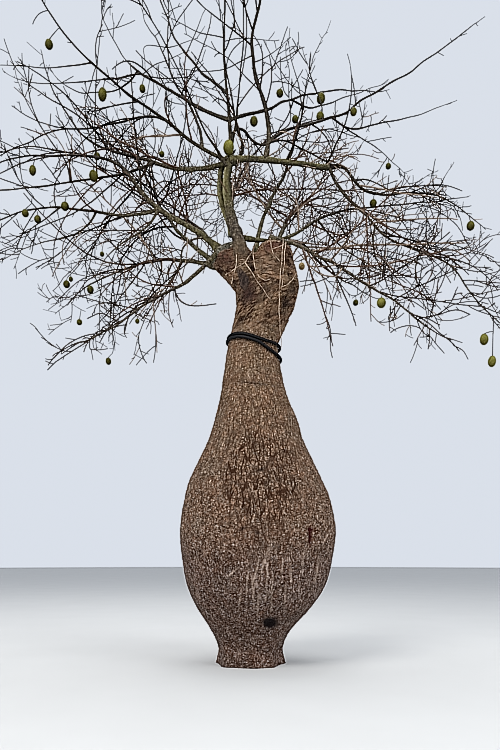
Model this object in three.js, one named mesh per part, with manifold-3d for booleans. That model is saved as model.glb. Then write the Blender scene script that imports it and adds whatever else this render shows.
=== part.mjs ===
// Silk floss tree (bottle-trunked floss tree), bare crown.
// Millimetres, +Z up, origin in the middle of the flat cut under the trunk.
//
// The trunk is a lathe-turned bottle with a lean. It forks into two thick cut limbs, and
// slim boughs grow out of them. Every bough follows one rule: it leaves at a heading and
// turns evenly through the headings given for it. A spray of twigs sits round the outer
// part of each bough as one closed uneven solid.

import * as THREE from 'three';
import { mergeVertices } from 'three/addons/utils/BufferGeometryUtils.js';
import Module from 'manifold-3d';

const wasm = await Module();
wasm.setup();

// ------------------------------------------------------------------ driving sizes (mm)
const M = 1000;                    // metres to millimetres
const GAP = 0.5;                   // how far a neighbour is grown before it is cut away
const TRUNK_SIDES = 24;
const BOUGH_SIDES = 6;
const BOUGH_STEP = 400;            // length of one bough segment
const SPRAY_SIDES = 9;
const SPRAY_RINGS = 8;

const FOOT_RADIUS = 486;           // at the ground, where the roots begin to spread
const ANKLE_RADIUS = 454;          // narrowest part below the belly
const BELLY_RADIUS = 1093;
const BELLY_HEIGHT = 1850;
const NECK_RADIUS = 353;
const NECK_HEIGHT = 4500;
const FORK_HEIGHT = 5480;          // the trunk ends here in its two cut limbs
const FORK_HALF_WIDTH = 532;       // across the two limbs
const FORK_HALF_DEPTH = 400;       // front to back

// stations up the trunk: height, radius, how far the middle has leant to +X
const TRUNK = [
  [0, FOOT_RADIUS, 0], [100, 462, 0], [230, ANKLE_RADIUS, 2], [470, 556, 10], [750, 775, 48],
  [1030, 940, 82], [1320, 1026, 97], [BELLY_HEIGHT, BELLY_RADIUS, 112], [2310, 1022, 99],
  [2590, 925, 78], [2870, 795, 80], [3160, 668, 82], [3440, 578, 84], [3720, 484, 56],
  [4010, 422, 35], [NECK_HEIGHT, NECK_RADIUS, 48], [4710, 374, 115], [4995, 412, 200],
  [5240, 452, 236], [FORK_HEIGHT, FORK_HALF_WIDTH, 140],
];

// cut limbs: foot and top of the axis, radii, and the tilt of the cut face to -X
const CUT_LIMBS = {
  cut_limb_left: { foot: [0, 0, 5340], top: [-335, -10, 5890], r0: 310, r1: 285, tilt: 20 },
  cut_limb_right: { foot: [300, 0, 5340], top: [315, 10, 5955], r0: 362, r1: 268, tilt: 6 },
};

const HOSE = { height: 4480, x: 42, radius: 372, thick: 44, tall: 92, tilt: 9 };

// Boughs. from/at: the bough it leaves and how far along it; base: where it leaves the cut
// limbs, in metres; len: metres; r: radius at its foot and tip, mm; head: headings at even
// steps, [azimuth, elevation] in degrees, azimuth 0 = +Y and 90 = +X; girth: radii at places
// along a bough that narrows at a knot. arch_right ends in the knot where it bends down.
const BOUGHS = {
  centre: { base: [-0.10, -0.02, 5.62], len: 4.17, r: [80, 9], girth: [[0, 80], [0.1, 70], [0.31, 63], [0.36, 38], [0.7, 24], [1, 9]], head: [[-105, 62], [-208, 79], [-150, 79], [-186, 80], [-202, 79]] },
  arch_right: { from: 'centre', at: 0.333, len: 1.39, r: [50, 38], head: [[93, 15], [93, -12], [93, -9], [93, -5]] },
  drop_right: { from: 'arch_right', at: 1, len: 3.48, r: [27, 9], head: [[95, -79], [92, -41], [93, -56], [92, -18], [92, -22], [93, -61], [92, -43], [92, -46]] },
  limb_left: { from: 'centre', at: 0.333, len: 3.67, r: [36, 8], head: [[-79, -14], [-76, 20], [-78, 24], [-70, 56], [-60, 69]] },
  long_left: { from: 'centre', at: 0.333, len: 2.87, r: [28, 8], head: [[-106, 9], [-118, 25], [-117, 21], [-123, 28], [-139, 42]] },
  upper_left: { from: 'centre', at: 0.458, len: 3.55, r: [28, 8], head: [[-68, 26], [-70, 41], [-71, 33], [-66, 55], [-52, 66], [-6, 78]] },
  rising_left: { from: 'centre', at: 0.542, len: 2.81, r: [22, 8], head: [[-54, 48], [-62, 50], [-38, 68], [-54, 62]] },
  steep_left: { from: 'long_left', at: 0.146, len: 3.44, r: [22, 8], head: [[-6, 67], [-51, 54], [-5, 69], [-7, 70]] },
  rising_right: { from: 'arch_right', at: 0.354, len: 2.72, r: [32, 9], head: [[117, 75], [253, 66], [115, 72], [128, 77]] },
  long_right: { from: 'rising_right', at: 0.083, len: 3.53, r: [22, 8], head: [[78, 43], [82, 15], [80, 38], [81, 32], [80, 41], [81, 37]] },
  mid_right: { from: 'centre', at: 0.458, len: 3.54, r: [26, 8], head: [[51, 31], [46, 38], [53, 27], [55, 19]] },
  tip_right: { from: 'arch_right', at: 0.98, len: 2.27, r: [24, 8], head: [[82, 28], [73, -53], [80, -10], [80, 14], [80, 3], [79, -23], [77, -36]] },
  spread_right: { base: [0.02, -0.16, 5.92], len: 3.57, r: [26, 8], head: [[68, 1], [67, 41], [70, 16], [72, 13], [72, 14]] },
  green_right: { base: [0.08, 0.08, 5.88], len: 4.61, r: [32, 8], head: [[25, 70], [45, 59], [27, 69], [30, 68], [47, 64]] },
  low_right: { base: [0.42, 0.18, 5.88], len: 2.95, r: [28, 8], head: [[44, 54], [32, -10], [40, 2], [43, -4]] },
  green_left: { base: [-0.46, -0.10, 5.82], len: 3.53, r: [42, 8], head: [[-99, 43], [-97, 21], [-102, 58], [-96, 1], [-97, -6], [-97, -35]] },
  crook_left: { base: [-0.56, 0.10, 5.76], len: 3.76, r: [34, 8], head: [[-56, 39], [-41, 49], [-16, 64], [-48, 51]] },
  level_left: { from: 'green_left', at: 0.271, len: 2.72, r: [25, 8], head: [[-81, -17], [-81, 14], [-81, 10], [-81, -10], [-81, -23]] },
  falling_left: { from: 'limb_left', at: 0.312, len: 2.52, r: [21, 8], head: [[-117, -36], [-122, -25], [-123, -23], [-128, -24]] },
  fan_left: { from: 'long_left', at: 0.312, len: 3.41, r: [19, 8], head: [[-44, 48], [-67, -1], [-64, 17], [-66, -6], [-65, -8]] },
  back_left: { base: [-0.42, 0.18, 5.84], len: 3.5, r: [36, 8], head: [[-30, 50], [-38, 38], [-28, 16], [-34, 4]] },
  back_middle: { from: 'centre', at: 0.16, len: 3.5, r: [32, 8], head: [[8, 48], [-6, 38], [2, 20], [-8, 6]] },
  back_right: { base: [0.34, 0.20, 5.92], len: 3.5, r: [36, 8], head: [[30, 58], [22, 44], [16, 24], [24, 8]] },
  back_low_left: { base: [-0.56, 0.16, 5.70], len: 3.3, r: [32, 8], head: [[-62, 24], [-52, 10], [-56, -4], [-46, -16]] },
  front_middle: { from: 'centre', at: 0.36, len: 3.1, r: [26, 8], head: [[150, 55], [176, 48], [186, 30], [178, 20]] },
  front_left: { from: 'centre', at: 0.30, len: 3.3, r: [28, 8], head: [[-140, 30], [-150, 38], [-142, 18], [-152, 6]] },
  front_right: { base: [0.36, -0.18, 5.90], len: 3.25, r: [28, 8], head: [[132, -27], [138, -38], [145, -38], [156, -43]] },
  front_low_left: { base: [-0.46, -0.18, 5.72], len: 3.14, r: [30, 8], head: [[-123, -52], [-146, -33], [-150, -40], [-154, -28]] },
};

// Sprays of twigs. from: where along its bough the spray begins; wide, high: half its width
// and height, mm; lift: how far its middle lies above the bough, mm; past: how far it runs
// beyond the bough's tip, mm.
const SPRAYS = {
  centre: { from: 0.52, wide: 530, high: 500, lift: 0, past: 420 },
  drop_right: { from: 0.14, wide: 700, high: 560, lift: -60, past: 330 },
  limb_left: { from: 0.42, wide: 580, high: 500, lift: 0, past: 330 },
  long_left: { from: 0.46, wide: 530, high: 460, lift: 20, past: 420 },
  upper_left: { from: 0.46, wide: 530, high: 460, lift: 0, past: 330 },
  rising_left: { from: 0.42, wide: 470, high: 420, lift: 0, past: 300 },
  steep_left: { from: 0.46, wide: 530, high: 460, lift: 0, past: 300 },
  rising_right: { from: 0.46, wide: 530, high: 460, lift: 0, past: 420 },
  long_right: { from: 0.36, wide: 400, high: 340, lift: 10, past: 200 },
  mid_right: { from: 0.42, wide: 640, high: 460, lift: 0, past: 300 },
  tip_right: { from: 0.36, wide: 640, high: 420, lift: -60, past: 330 },
  spread_right: { from: 0.38, wide: 700, high: 500, lift: -90, past: 330 },
  green_right: { from: 0.34, wide: 640, high: 560, lift: 0, past: 300 },
  low_right: { from: 0.34, wide: 780, high: 560, lift: -100, past: 420 },
  green_left: { from: 0.52, wide: 530, high: 380, lift: -20, past: 380 },
  crook_left: { from: 0.38, wide: 640, high: 540, lift: 0, past: 420 },
  level_left: { from: 0.30, wide: 680, high: 430, lift: -130, past: 330 },
  falling_left: { from: 0.36, wide: 620, high: 420, lift: -90, past: 380 },
  fan_left: { from: 0.36, wide: 640, high: 420, lift: 0, past: 300 },
  back_left: { from: 0.34, wide: 780, high: 540, lift: -60, past: 420 },
  back_middle: { from: 0.38, wide: 800, high: 540, lift: -60, past: 420 },
  back_right: { from: 0.34, wide: 800, high: 560, lift: -80, past: 420 },
  back_low_left: { from: 0.32, wide: 800, high: 560, lift: -120, past: 420 },
  front_middle: { from: 0.44, wide: 690, high: 460, lift: 0, past: 380 },
  front_left: { from: 0.44, wide: 690, high: 460, lift: 0, past: 380 },
  front_right: { from: 0.40, wide: 690, high: 470, lift: -60, past: 380 },
  front_low_left: { from: 0.40, wide: 690, high: 470, lift: -60, past: 380 },
};

const BARK = new THREE.Color(0x77644f);
const GREEN_BARK = new THREE.Color(0x6f6a3c);
const TWIG = new THREE.Color(0x5a4c3e);
const RUBBER = new THREE.Color(0x17181a);

// ------------------------------------------------------------------ solids: to and from
function solidOf(geometry) {
  const g = geometry.clone();
  for (const name of ['normal', 'uv', 'uv1', 'color']) g.deleteAttribute(name);
  const m = mergeVertices(g, 0.01);
  const solid = new wasm.Manifold(new wasm.Mesh({
    numProp: 3,
    vertProperties: new Float32Array(m.attributes.position.array),
    triVerts: new Uint32Array(m.index.array),
  }));
  return solid;
}

function geometryOf(solid) {
  const m = solid.getMesh();
  const g = new THREE.BufferGeometry();
  g.setAttribute('position', new THREE.BufferAttribute(new Float32Array(m.vertProperties), 3));
  g.setIndex(new THREE.BufferAttribute(new Uint32Array(m.triVerts), 1));
  g.computeVertexNormals();
  return g;
}

// the separate pieces of a solid that are big enough to keep
function piecesOf(solid) {
  return solid.decompose().filter((piece) => piece.volume() > 2e4);
}

function largest(solid) {
  return piecesOf(solid).sort((a, b) => b.volume() - a.volume())[0];
}

function distanceTo(solid, point) {
  const v = solid.getMesh().vertProperties;
  let best = Infinity;
  for (let i = 0; i < v.length; i += 3) {
    best = Math.min(best, Math.hypot(v[i] - point.x, v[i + 1] - point.y, v[i + 2] - point.z));
  }
  return best;
}

function nearest(solid, point) {
  return piecesOf(solid).sort((a, b) => distanceTo(a, point) - distanceTo(b, point))[0];
}

// ------------------------------------------------------------------ limbs as curves
const heading = ([azimuth, elevation]) => {
  const a = THREE.MathUtils.degToRad(azimuth);
  const e = THREE.MathUtils.degToRad(elevation);
  return new THREE.Vector3(Math.cos(e) * Math.sin(a), Math.cos(e) * Math.cos(a), Math.sin(e));
};

// A limb leaves its base and turns evenly from each heading to the next.
class Limb extends THREE.Curve {
  constructor(base, length, headings, samples = 96) {
    super();
    this.length = length;
    this.samples = samples;
    const ways = headings.map(heading);
    const turns = ways.length - 1;
    this.points = [base.clone()];
    for (let k = 0; k < samples; k += 1) {
      const u = ((k + 0.5) / samples) * turns;
      const i = Math.min(Math.floor(u), turns - 1);
      const way = ways[i].clone().lerp(ways[i + 1], u - i).normalize();
      this.points.push(this.points[k].clone().addScaledVector(way, length / samples));
    }
  }

  // the line runs on straight before 0 and after 1
  getPoint(t, target = new THREE.Vector3()) {
    const x = t * this.samples;
    const i = Math.min(Math.max(Math.floor(x), 0), this.samples - 1);
    return target.copy(this.points[i])
      .addScaledVector(this.points[i + 1].clone().sub(this.points[i]), x - i);
  }

  // a frame that doesn't twist: [side, way, up] at each of the given places
  frames(places) {
    const out = [];
    let side = null;
    for (const t of places) {
      const way = this.getPoint(t + 0.01).sub(this.getPoint(t - 0.01)).normalize();
      if (side === null) {
        side = new THREE.Vector3(0, 0, 1).cross(way);
        if (side.length() < 0.2) side.set(1, 0, 0);
      }
      side = side.clone().addScaledVector(way, -side.dot(way)).normalize();
      out.push({ side, way, up: side.clone().cross(way) });
    }
    return out;
  }
}

const limbs = {};
for (const [name, b] of Object.entries(BOUGHS)) {
  const base = b.from ? limbs[b.from].getPoint(b.at) : new THREE.Vector3(...b.base).multiplyScalar(M);
  limbs[name] = new Limb(base, b.len * M, b.head);
}

const boughRadius = (name, t) => {
  const { r: [foot, tip], girth } = BOUGHS[name];
  const u = Math.min(Math.max(t, 0), 1);
  if (!girth) return tip + (foot - tip) * (1 - u) ** 1.2;
  const k = Math.max(1, girth.findIndex(([at]) => at >= u));
  const [[t0, r0], [t1, r1]] = [girth[k - 1], girth[k]];
  return THREE.MathUtils.lerp(r0, r1, (u - t0) / (t1 - t0));
};

// a cylinder bent along the limb and tapered
function boughShape(name, grow = 0) {
  const limb = limbs[name];
  const steps = Math.max(4, Math.round(limb.length / BOUGH_STEP));
  const g = new THREE.CylinderGeometry(1, 1, 1, BOUGH_SIDES, steps);
  for (const key of ['normal', 'uv']) g.deleteAttribute(key);
  const shape = mergeVertices(g, 1e-4);
  const places = Array.from({ length: steps + 1 }, (_, i) => i / steps);
  const frames = limb.frames(places);
  const p = shape.attributes.position;
  for (let k = 0; k < p.count; k += 1) {
    const i = Math.round((p.getY(k) + 0.5) * steps);
    const { side, way, up } = frames[i];
    const r = boughRadius(name, places[i]) + grow;
    const end = i === 0 ? -grow : i === steps ? grow : 0;
    const at = limb.getPoint(places[i]).addScaledVector(way, end)
      .addScaledVector(side, p.getX(k) * r).addScaledVector(up, p.getZ(k) * r);
    p.setXYZ(k, at.x, at.y, at.z);
  }
  return solidOf(shape);
}

// a sphere drawn out along the outer part of a limb, with lobes of its own
function sprayShape(name, seed, grow = 0) {
  const s = SPRAYS[name];
  const limb = limbs[name];
  const g = new THREE.SphereGeometry(1, SPRAY_SIDES, SPRAY_RINGS);
  for (const key of ['normal', 'uv']) g.deleteAttribute(key);
  const shape = mergeVertices(g, 1e-4);
  const end = 1 + s.past / limb.length;
  const place = (y) => s.from + (end - s.from) * (0.5 + 0.5 * y);
  const rings = Array.from({ length: SPRAY_RINGS + 1 }, (_, i) => Math.cos((i * Math.PI) / SPRAY_RINGS));
  const frames = limb.frames(rings.map(place));
  const p = shape.attributes.position;
  for (let k = 0; k < p.count; k += 1) {
    const y = p.getY(k);
    const i = Math.round((Math.acos(Math.min(Math.max(y, -1), 1)) * SPRAY_RINGS) / Math.PI);
    const { side, way, up } = frames[i];
    const ring = Math.hypot(p.getX(k), p.getZ(k));
    const angle = Math.atan2(p.getZ(k), p.getX(k));
    const u = 1 - i / SPRAY_RINGS;
    const lobes = 1 + 0.20 * Math.sin(2 * angle + 1.7 * seed + 5.0 * u)
      + 0.14 * Math.sin(3 * angle - 2.3 * seed - 7.0 * u)
      + 0.13 * Math.sin(11.0 * u + 2.9 * seed)
      + 0.12 * Math.sin(47.0 * Math.sin(seed + 3.1 * i) + 5.3 * Math.round((angle * SPRAY_SIDES) / Math.PI));
    const fullness = ring * lobes * (0.72 + 0.90 * u - 0.72 * u * u);
    const at = limb.getPoint(place(y))
      .addScaledVector(way, y * grow)
      .addScaledVector(side, Math.cos(angle) * (s.wide * fullness + ring * grow))
      .addScaledVector(up, Math.sin(angle) * (s.high * fullness + ring * grow));
    at.z += s.lift * (1 - y * y);
    p.setXYZ(k, at.x, at.y, at.z);
  }
  return solidOf(shape);
}

// ------------------------------------------------------------------ trunk
// radius and lean at a height, smooth through the stations
function trunkAt(z) {
  const last = TRUNK.length - 1;
  let i = 0;
  while (i < last - 1 && TRUNK[i + 1][0] < z) i += 1;
  const span = TRUNK[i + 1][0] - TRUNK[i][0];
  const t = (z - TRUNK[i][0]) / span;
  const slope = (j, c) => {
    const a = TRUNK[Math.max(j - 1, 0)];
    const b = TRUNK[Math.min(j + 1, last)];
    return (b[c] - a[c]) / (b[0] - a[0]);
  };
  return [1, 2].map((c) => {
    const m0 = slope(i, c) * span;
    const m1 = slope(i + 1, c) * span;
    const t2 = t * t;
    const t3 = t2 * t;
    return (2 * t3 - 3 * t2 + 1) * TRUNK[i][c] + (t3 - 2 * t2 + t) * m0
      + (-2 * t3 + 3 * t2) * TRUNK[i + 1][c] + (t3 - t2) * m1;
  });
}

function trunkShape(grow = 0) {
  const heights = [];
  for (let i = 0; i < TRUNK.length; i += 1) {
    heights.push(TRUNK[i][0]);
    if (i === 3 || (i > 13 && i < 16)) heights.push((TRUNK[i][0] + TRUNK[i + 1][0]) / 2);
  }
  const profile = [new THREE.Vector2(0, 0)];
  for (const z of heights) profile.push(new THREE.Vector2(1, z));
  profile.push(new THREE.Vector2(0, FORK_HEIGHT));
  const g = new THREE.LatheGeometry(profile, TRUNK_SIDES);
  for (const key of ['normal', 'uv']) g.deleteAttribute(key);
  const shape = mergeVertices(g, 1e-4);
  const p = shape.attributes.position;
  for (let k = 0; k < p.count; k += 1) {
    const z = p.getY(k);
    const [radius, lean] = trunkAt(z);
    // towards the fork the section widens from side to side and flattens front to back
    const open = THREE.MathUtils.smoothstep(z, 5000, FORK_HEIGHT);
    const across = radius + grow;
    const deep = THREE.MathUtils.lerp(radius, FORK_HALF_DEPTH, open) + grow;
    const end = z === 0 ? -grow : z === FORK_HEIGHT ? grow : 0;
    p.setXYZ(k, lean + p.getX(k) * across, -p.getZ(k) * deep, z + end);
  }
  return solidOf(shape);
}

// ------------------------------------------------------------------ cut limbs
function cutLimbShape({ foot, top, r0, r1, tilt }, grow = 0) {
  const a = new THREE.Vector3(...foot);
  const b = new THREE.Vector3(...top);
  const steps = 4;
  const g = new THREE.CylinderGeometry(1, 1, 1, 12, steps);
  for (const key of ['normal', 'uv']) g.deleteAttribute(key);
  const shape = mergeVertices(g, 1e-4);
  const p = shape.attributes.position;
  const slope = Math.tan(THREE.MathUtils.degToRad(tilt));
  for (let k = 0; k < p.count; k += 1) {
    const t = p.getY(k) + 0.5;
    const r = THREE.MathUtils.lerp(r0, r1, t) * (1 + 0.05 * Math.sin(9 * t)) + grow;
    const at = a.clone().lerp(b, t);
    const x = p.getX(k) * r;
    const y = -p.getZ(k) * r * 0.94;
    const end = t < 0.01 ? -grow : t > 0.99 ? grow : 0;
    p.setXYZ(k, at.x + x, at.y + y, at.z + end + (t ** 3) * slope * x);
  }
  return solidOf(shape);
}

// ------------------------------------------------------------------ hose round the neck
function hoseShape() {
  const { radius, thick, tall } = HOSE;
  const bevel = thick * 0.3;
  const profile = [
    [radius, -tall / 2 + bevel], [radius + bevel, -tall / 2], [radius + thick - bevel, -tall / 2],
    [radius + thick, -tall / 2 + bevel], [radius + thick, tall / 2 - bevel],
    [radius + thick - bevel, tall / 2], [radius + bevel, tall / 2], [radius, tall / 2 - bevel],
    [radius, -tall / 2 + bevel],
  ].map(([x, y]) => new THREE.Vector2(x, y));
  const g = new THREE.LatheGeometry(profile, 18);
  g.rotateX(Math.PI / 2);
  g.rotateY(THREE.MathUtils.degToRad(HOSE.tilt));
  g.translate(HOSE.x, 0, HOSE.height);
  return solidOf(g);
}

// ------------------------------------------------------------------ assembly
const tree = new THREE.Group();
tree.name = 'silk_floss_tree';

function add(name, solid, colour, roughness) {
  const mesh = new THREE.Mesh(
    geometryOf(solid),
    new THREE.MeshStandardMaterial({ color: colour.clone(), roughness, metalness: 0 }),
  );
  mesh.name = name;
  tree.add(mesh);
}

const trunk = trunkShape();
const trunkGrown = trunkShape(GAP);
add('trunk', trunk, BARK, 0.95);

const grown = [trunkGrown];        // everything that later pieces keep clear of
for (const [name, sizes] of Object.entries(CUT_LIMBS)) {
  let solid = cutLimbShape(sizes);
  for (const other of grown) solid = solid.subtract(other);
  solid = largest(solid);
  add(name, solid, BARK, 0.95);
  grown.push(cutLimbShape(sizes, GAP));
}

add('neck_hose', largest(hoseShape().subtract(trunkGrown)), RUBBER, 0.5);

const sprays = [];
let seed = 0;
for (const name of Object.keys(SPRAYS)) {
  seed += 1;
  let solid = sprayShape(name, seed);
  for (const other of sprays) solid = solid.subtract(other);
  solid = largest(solid);
  add(`spray_${name}`, solid, TWIG, 0.95);
  sprays.push(sprayShape(name, seed, GAP));
}

for (const name of Object.keys(BOUGHS)) {
  let solid = boughShape(name);
  for (const other of [...grown, ...sprays]) solid = solid.subtract(other);
  const stub = limbs[name].getPoint(0.06);
  solid = nearest(solid, stub);
  add(`bough_${name}`, solid, GREEN_BARK, 0.8);
  grown.push(boughShape(name, GAP));
}

export default tree;
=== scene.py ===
"""Silk floss tree with a bottle trunk and a bare crown, at its real size in metres, +Z up.

Every limb follows one rule: it leaves at a heading and turns evenly through the headings
given for it. Twigs grow on from the limbs by a seeded branching rule.
"""
import itertools
import math

import bpy
import numpy as np
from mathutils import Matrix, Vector
from mathutils.bvhtree import BVHTree


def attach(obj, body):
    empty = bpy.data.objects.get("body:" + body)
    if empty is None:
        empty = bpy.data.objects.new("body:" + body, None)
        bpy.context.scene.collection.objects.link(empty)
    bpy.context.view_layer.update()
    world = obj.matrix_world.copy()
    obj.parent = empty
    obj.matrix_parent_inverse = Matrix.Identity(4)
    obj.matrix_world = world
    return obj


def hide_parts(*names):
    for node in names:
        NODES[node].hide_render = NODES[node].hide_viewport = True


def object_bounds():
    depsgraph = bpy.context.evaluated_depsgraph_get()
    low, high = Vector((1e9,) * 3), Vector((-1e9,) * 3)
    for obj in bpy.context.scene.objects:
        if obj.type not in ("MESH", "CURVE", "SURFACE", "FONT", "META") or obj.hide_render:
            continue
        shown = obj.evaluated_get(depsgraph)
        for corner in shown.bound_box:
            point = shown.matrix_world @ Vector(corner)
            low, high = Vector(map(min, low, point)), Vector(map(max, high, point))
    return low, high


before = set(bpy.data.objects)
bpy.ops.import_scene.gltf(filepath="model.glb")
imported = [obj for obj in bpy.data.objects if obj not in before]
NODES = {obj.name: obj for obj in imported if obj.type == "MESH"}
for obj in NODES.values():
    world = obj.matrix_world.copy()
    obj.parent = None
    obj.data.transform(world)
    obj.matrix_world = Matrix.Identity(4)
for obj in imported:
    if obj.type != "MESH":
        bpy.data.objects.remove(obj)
cad_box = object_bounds()
rng = np.random.default_rng(75)
UP = np.array([0.0, 0.0, 1.0])

# ------------------------------------------------------------------ camera
EYE = (0.0, -9.2, 1.5)
FOCAL = 650.0           # in pixels of the 500 x 750 picture
MID = (250.0, 557.0)    # where the level line of sight meets the picture

cam_data = bpy.data.cameras.new("camera")
cam_data.sensor_width = 36.0
cam_data.lens = 36.0 * FOCAL / 750.0
cam_data.shift_y = (MID[1] - 375.0) / 750.0
cam_data.clip_end = 400.0
cam = bpy.data.objects.new("camera", cam_data)
cam.location = EYE
cam.rotation_euler = (math.radians(90.0), 0.0, 0.0)
bpy.context.scene.collection.objects.link(cam)
bpy.context.scene.camera = cam


def seen(p):
    """picture position of points"""
    d = p[..., 1] - EYE[1]
    return MID[0] + FOCAL * p[..., 0] / d, MID[1] - FOCAL * (p[..., 2] - EYE[2]) / d


def placed(px, py, y):
    """the point at a picture position and a depth"""
    d = y - EYE[1]
    return np.array([(px - MID[0]) * d / FOCAL, y, EYE[2] + (MID[1] - py) * d / FOCAL])


# ------------------------------------------------------------------ sizes
# height, radius, lean to +X (mm), as the trunk is built
TRUNK = np.array([
    [0, 486, 0], [100, 462, 0], [230, 454, 0], [470, 556, 10], [750, 775, 48],
    [1030, 940, 82], [1320, 1026, 97], [1850, 1093, 112], [2310, 1022, 99],
    [2590, 925, 78], [2870, 795, 80], [3160, 668, 82], [3440, 578, 84], [3720, 484, 56],
    [4010, 422, 35], [4500, 353, 48], [4710, 374, 115], [4995, 412, 200],
    [5240, 452, 236], [5480, 532, 140]], float) / 1000.0

# the fork: height, left edge, right edge, half depth, half width of each of its two limbs
FORK = np.array([
    [4.40, -0.318, 0.408, 0.363, 0.363, 0.363], [4.50, -0.305, 0.401, 0.353, 0.353, 0.353],
    [4.71, -0.259, 0.489, 0.374, 0.374, 0.374], [4.995, -0.212, 0.612, 0.408, 0.412, 0.412],
    [5.15, -0.210, 0.665, 0.415, 0.437, 0.437], [5.28, -0.222, 0.700, 0.410, 0.440, 0.440],
    [5.42, -0.335, 0.688, 0.390, 0.400, 0.400], [5.56, -0.457, 0.660, 0.360, 0.330, 0.345],
    [5.675, -0.560, 0.622, 0.330, 0.290, 0.305], [5.775, -0.605, 0.595, 0.305, 0.270, 0.280],
    [5.90, -0.630, 0.575, 0.290, 0.262, 0.268], [6.10, -0.640, 0.560, 0.280, 0.255, 0.262]])

# name: (bough it leaves, how far along it) or its base; length; radii mm; headings; green
LIMBS = {
    "centre": ([-0.10, -0.02, 5.62], 4.17, (80, 9), [(-105, 62), (-208, 79), (-150, 79), (-186, 80), (-202, 79)], (1.0, 0.2)),
    "arch_right": (("centre", 0.333), 1.39, (50, 38), [(93, 15), (93, -12), (93, -9), (93, -5)], (0.85, 0.90)),
    "drop_right": (("arch_right", 1.0), 3.48, (27, 9), [(95, -79), (92, -41), (93, -56), (92, -18), (92, -22), (93, -61), (92, -43), (92, -46)], (0.2, 0.1)),
    "limb_left": (("centre", 0.333), 3.67, (36, 8), [(-79, -14), (-76, 20), (-78, 24), (-70, 56), (-60, 69)], (0.85, 0.1)),
    "long_left": (("centre", 0.333), 2.87, (28, 8), [(-106, 9), (-118, 25), (-117, 21), (-123, 28), (-139, 42)], (0.5, 0.1)),
    "upper_left": (("centre", 0.458), 3.55, (28, 8), [(-68, 26), (-70, 41), (-71, 33), (-66, 55), (-52, 66), (-6, 78)], (0.3, 0.1)),
    "rising_left": (("centre", 0.542), 2.81, (22, 8), [(-54, 48), (-62, 50), (-38, 68), (-54, 62)], (0.2, 0.1)),
    "steep_left": (("long_left", 0.146), 3.44, (22, 8), [(-6, 67), (-51, 54), (-5, 69), (-7, 70)], (0.3, 0.1)),
    "rising_right": (("arch_right", 0.354), 2.72, (32, 9), [(117, 75), (253, 66), (115, 72), (128, 77)], (0.2, 0.1)),
    "long_right": (("rising_right", 0.083), 3.53, (22, 8), [(78, 43), (82, 15), (80, 38), (81, 32), (80, 41), (81, 37)], (0.2, 0.1)),
    "mid_right": (("centre", 0.458), 3.54, (26, 8), [(51, 31), (46, 38), (53, 27), (55, 19)], (0.3, 0.1)),
    "tip_right": (("arch_right", 0.98), 2.27, (24, 8), [(82, 28), (73, -53), (80, -10), (80, 14), (80, 3), (79, -23), (77, -36)], (0.2, 0.1)),
    "spread_right": ([0.02, -0.16, 5.92], 3.57, (26, 8), [(68, 1), (67, 41), (70, 16), (72, 13), (72, 14)], (1.0, 0.0)),
    "green_right": ([0.08, 0.08, 5.88], 4.61, (32, 8), [(25, 70), (45, 59), (27, 69), (30, 68), (47, 64)], (0.85, 0.1)),
    "low_right": ([0.42, 0.18, 5.88], 2.95, (28, 8), [(44, 54), (32, -10), (40, 2), (43, -4)], (0.3, 0.1)),
    "green_left": ([-0.46, -0.10, 5.82], 3.53, (42, 8), [(-99, 43), (-97, 21), (-102, 58), (-96, 1), (-97, -6), (-97, -35)], (0.95, 0.1)),
    "crook_left": ([-0.56, 0.10, 5.76], 3.76, (34, 8), [(-56, 39), (-41, 49), (-16, 64), (-48, 51)], (0.9, 0.1)),
    "level_left": (("green_left", 0.271), 2.72, (25, 8), [(-81, -17), (-81, 14), (-81, 10), (-81, -10), (-81, -23)], (0.5, 0.1)),
    "falling_left": (("limb_left", 0.312), 2.52, (21, 8), [(-117, -36), (-122, -25), (-123, -23), (-128, -24)], (0.2, 0.1)),
    "fan_left": (("long_left", 0.312), 3.41, (19, 8), [(-44, 48), (-67, -1), (-64, 17), (-66, -6), (-65, -8)], (0.2, 0.1)),
    "back_left": ([-0.42, 0.18, 5.84], 3.5, (36, 8), [(-30, 50), (-38, 38), (-28, 16), (-34, 4)], (0.6, 0.1)),
    "back_middle": (("centre", 0.16), 3.5, (32, 8), [(8, 48), (-6, 38), (2, 20), (-8, 6)], (0.5, 0.1)),
    "back_right": ([0.34, 0.20, 5.92], 3.5, (36, 8), [(30, 58), (22, 44), (16, 24), (24, 8)], (0.5, 0.1)),
    "back_low_left": ([-0.56, 0.16, 5.70], 3.3, (32, 8), [(-62, 24), (-52, 10), (-56, -4), (-46, -16)], (0.5, 0.1)),
    "front_middle": (("centre", 0.36), 3.1, (26, 8), [(150, 55), (176, 48), (186, 30), (178, 20)], (0.4, 0.1)),
    "front_left": (("centre", 0.30), 3.3, (28, 8), [(-140, 30), (-150, 38), (-142, 18), (-152, 6)], (0.4, 0.1)),
    "front_right": ([0.36, -0.18, 5.90], 3.25, (28, 8), [(132, -27), (138, -38), (145, -38), (156, -43)], (0.4, 0.1)),
    "front_low_left": ([-0.46, -0.18, 5.72], 3.14, (30, 8), [(-123, -52), (-146, -33), (-150, -40), (-154, -28)], (0.6, 0.1)),
}

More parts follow.
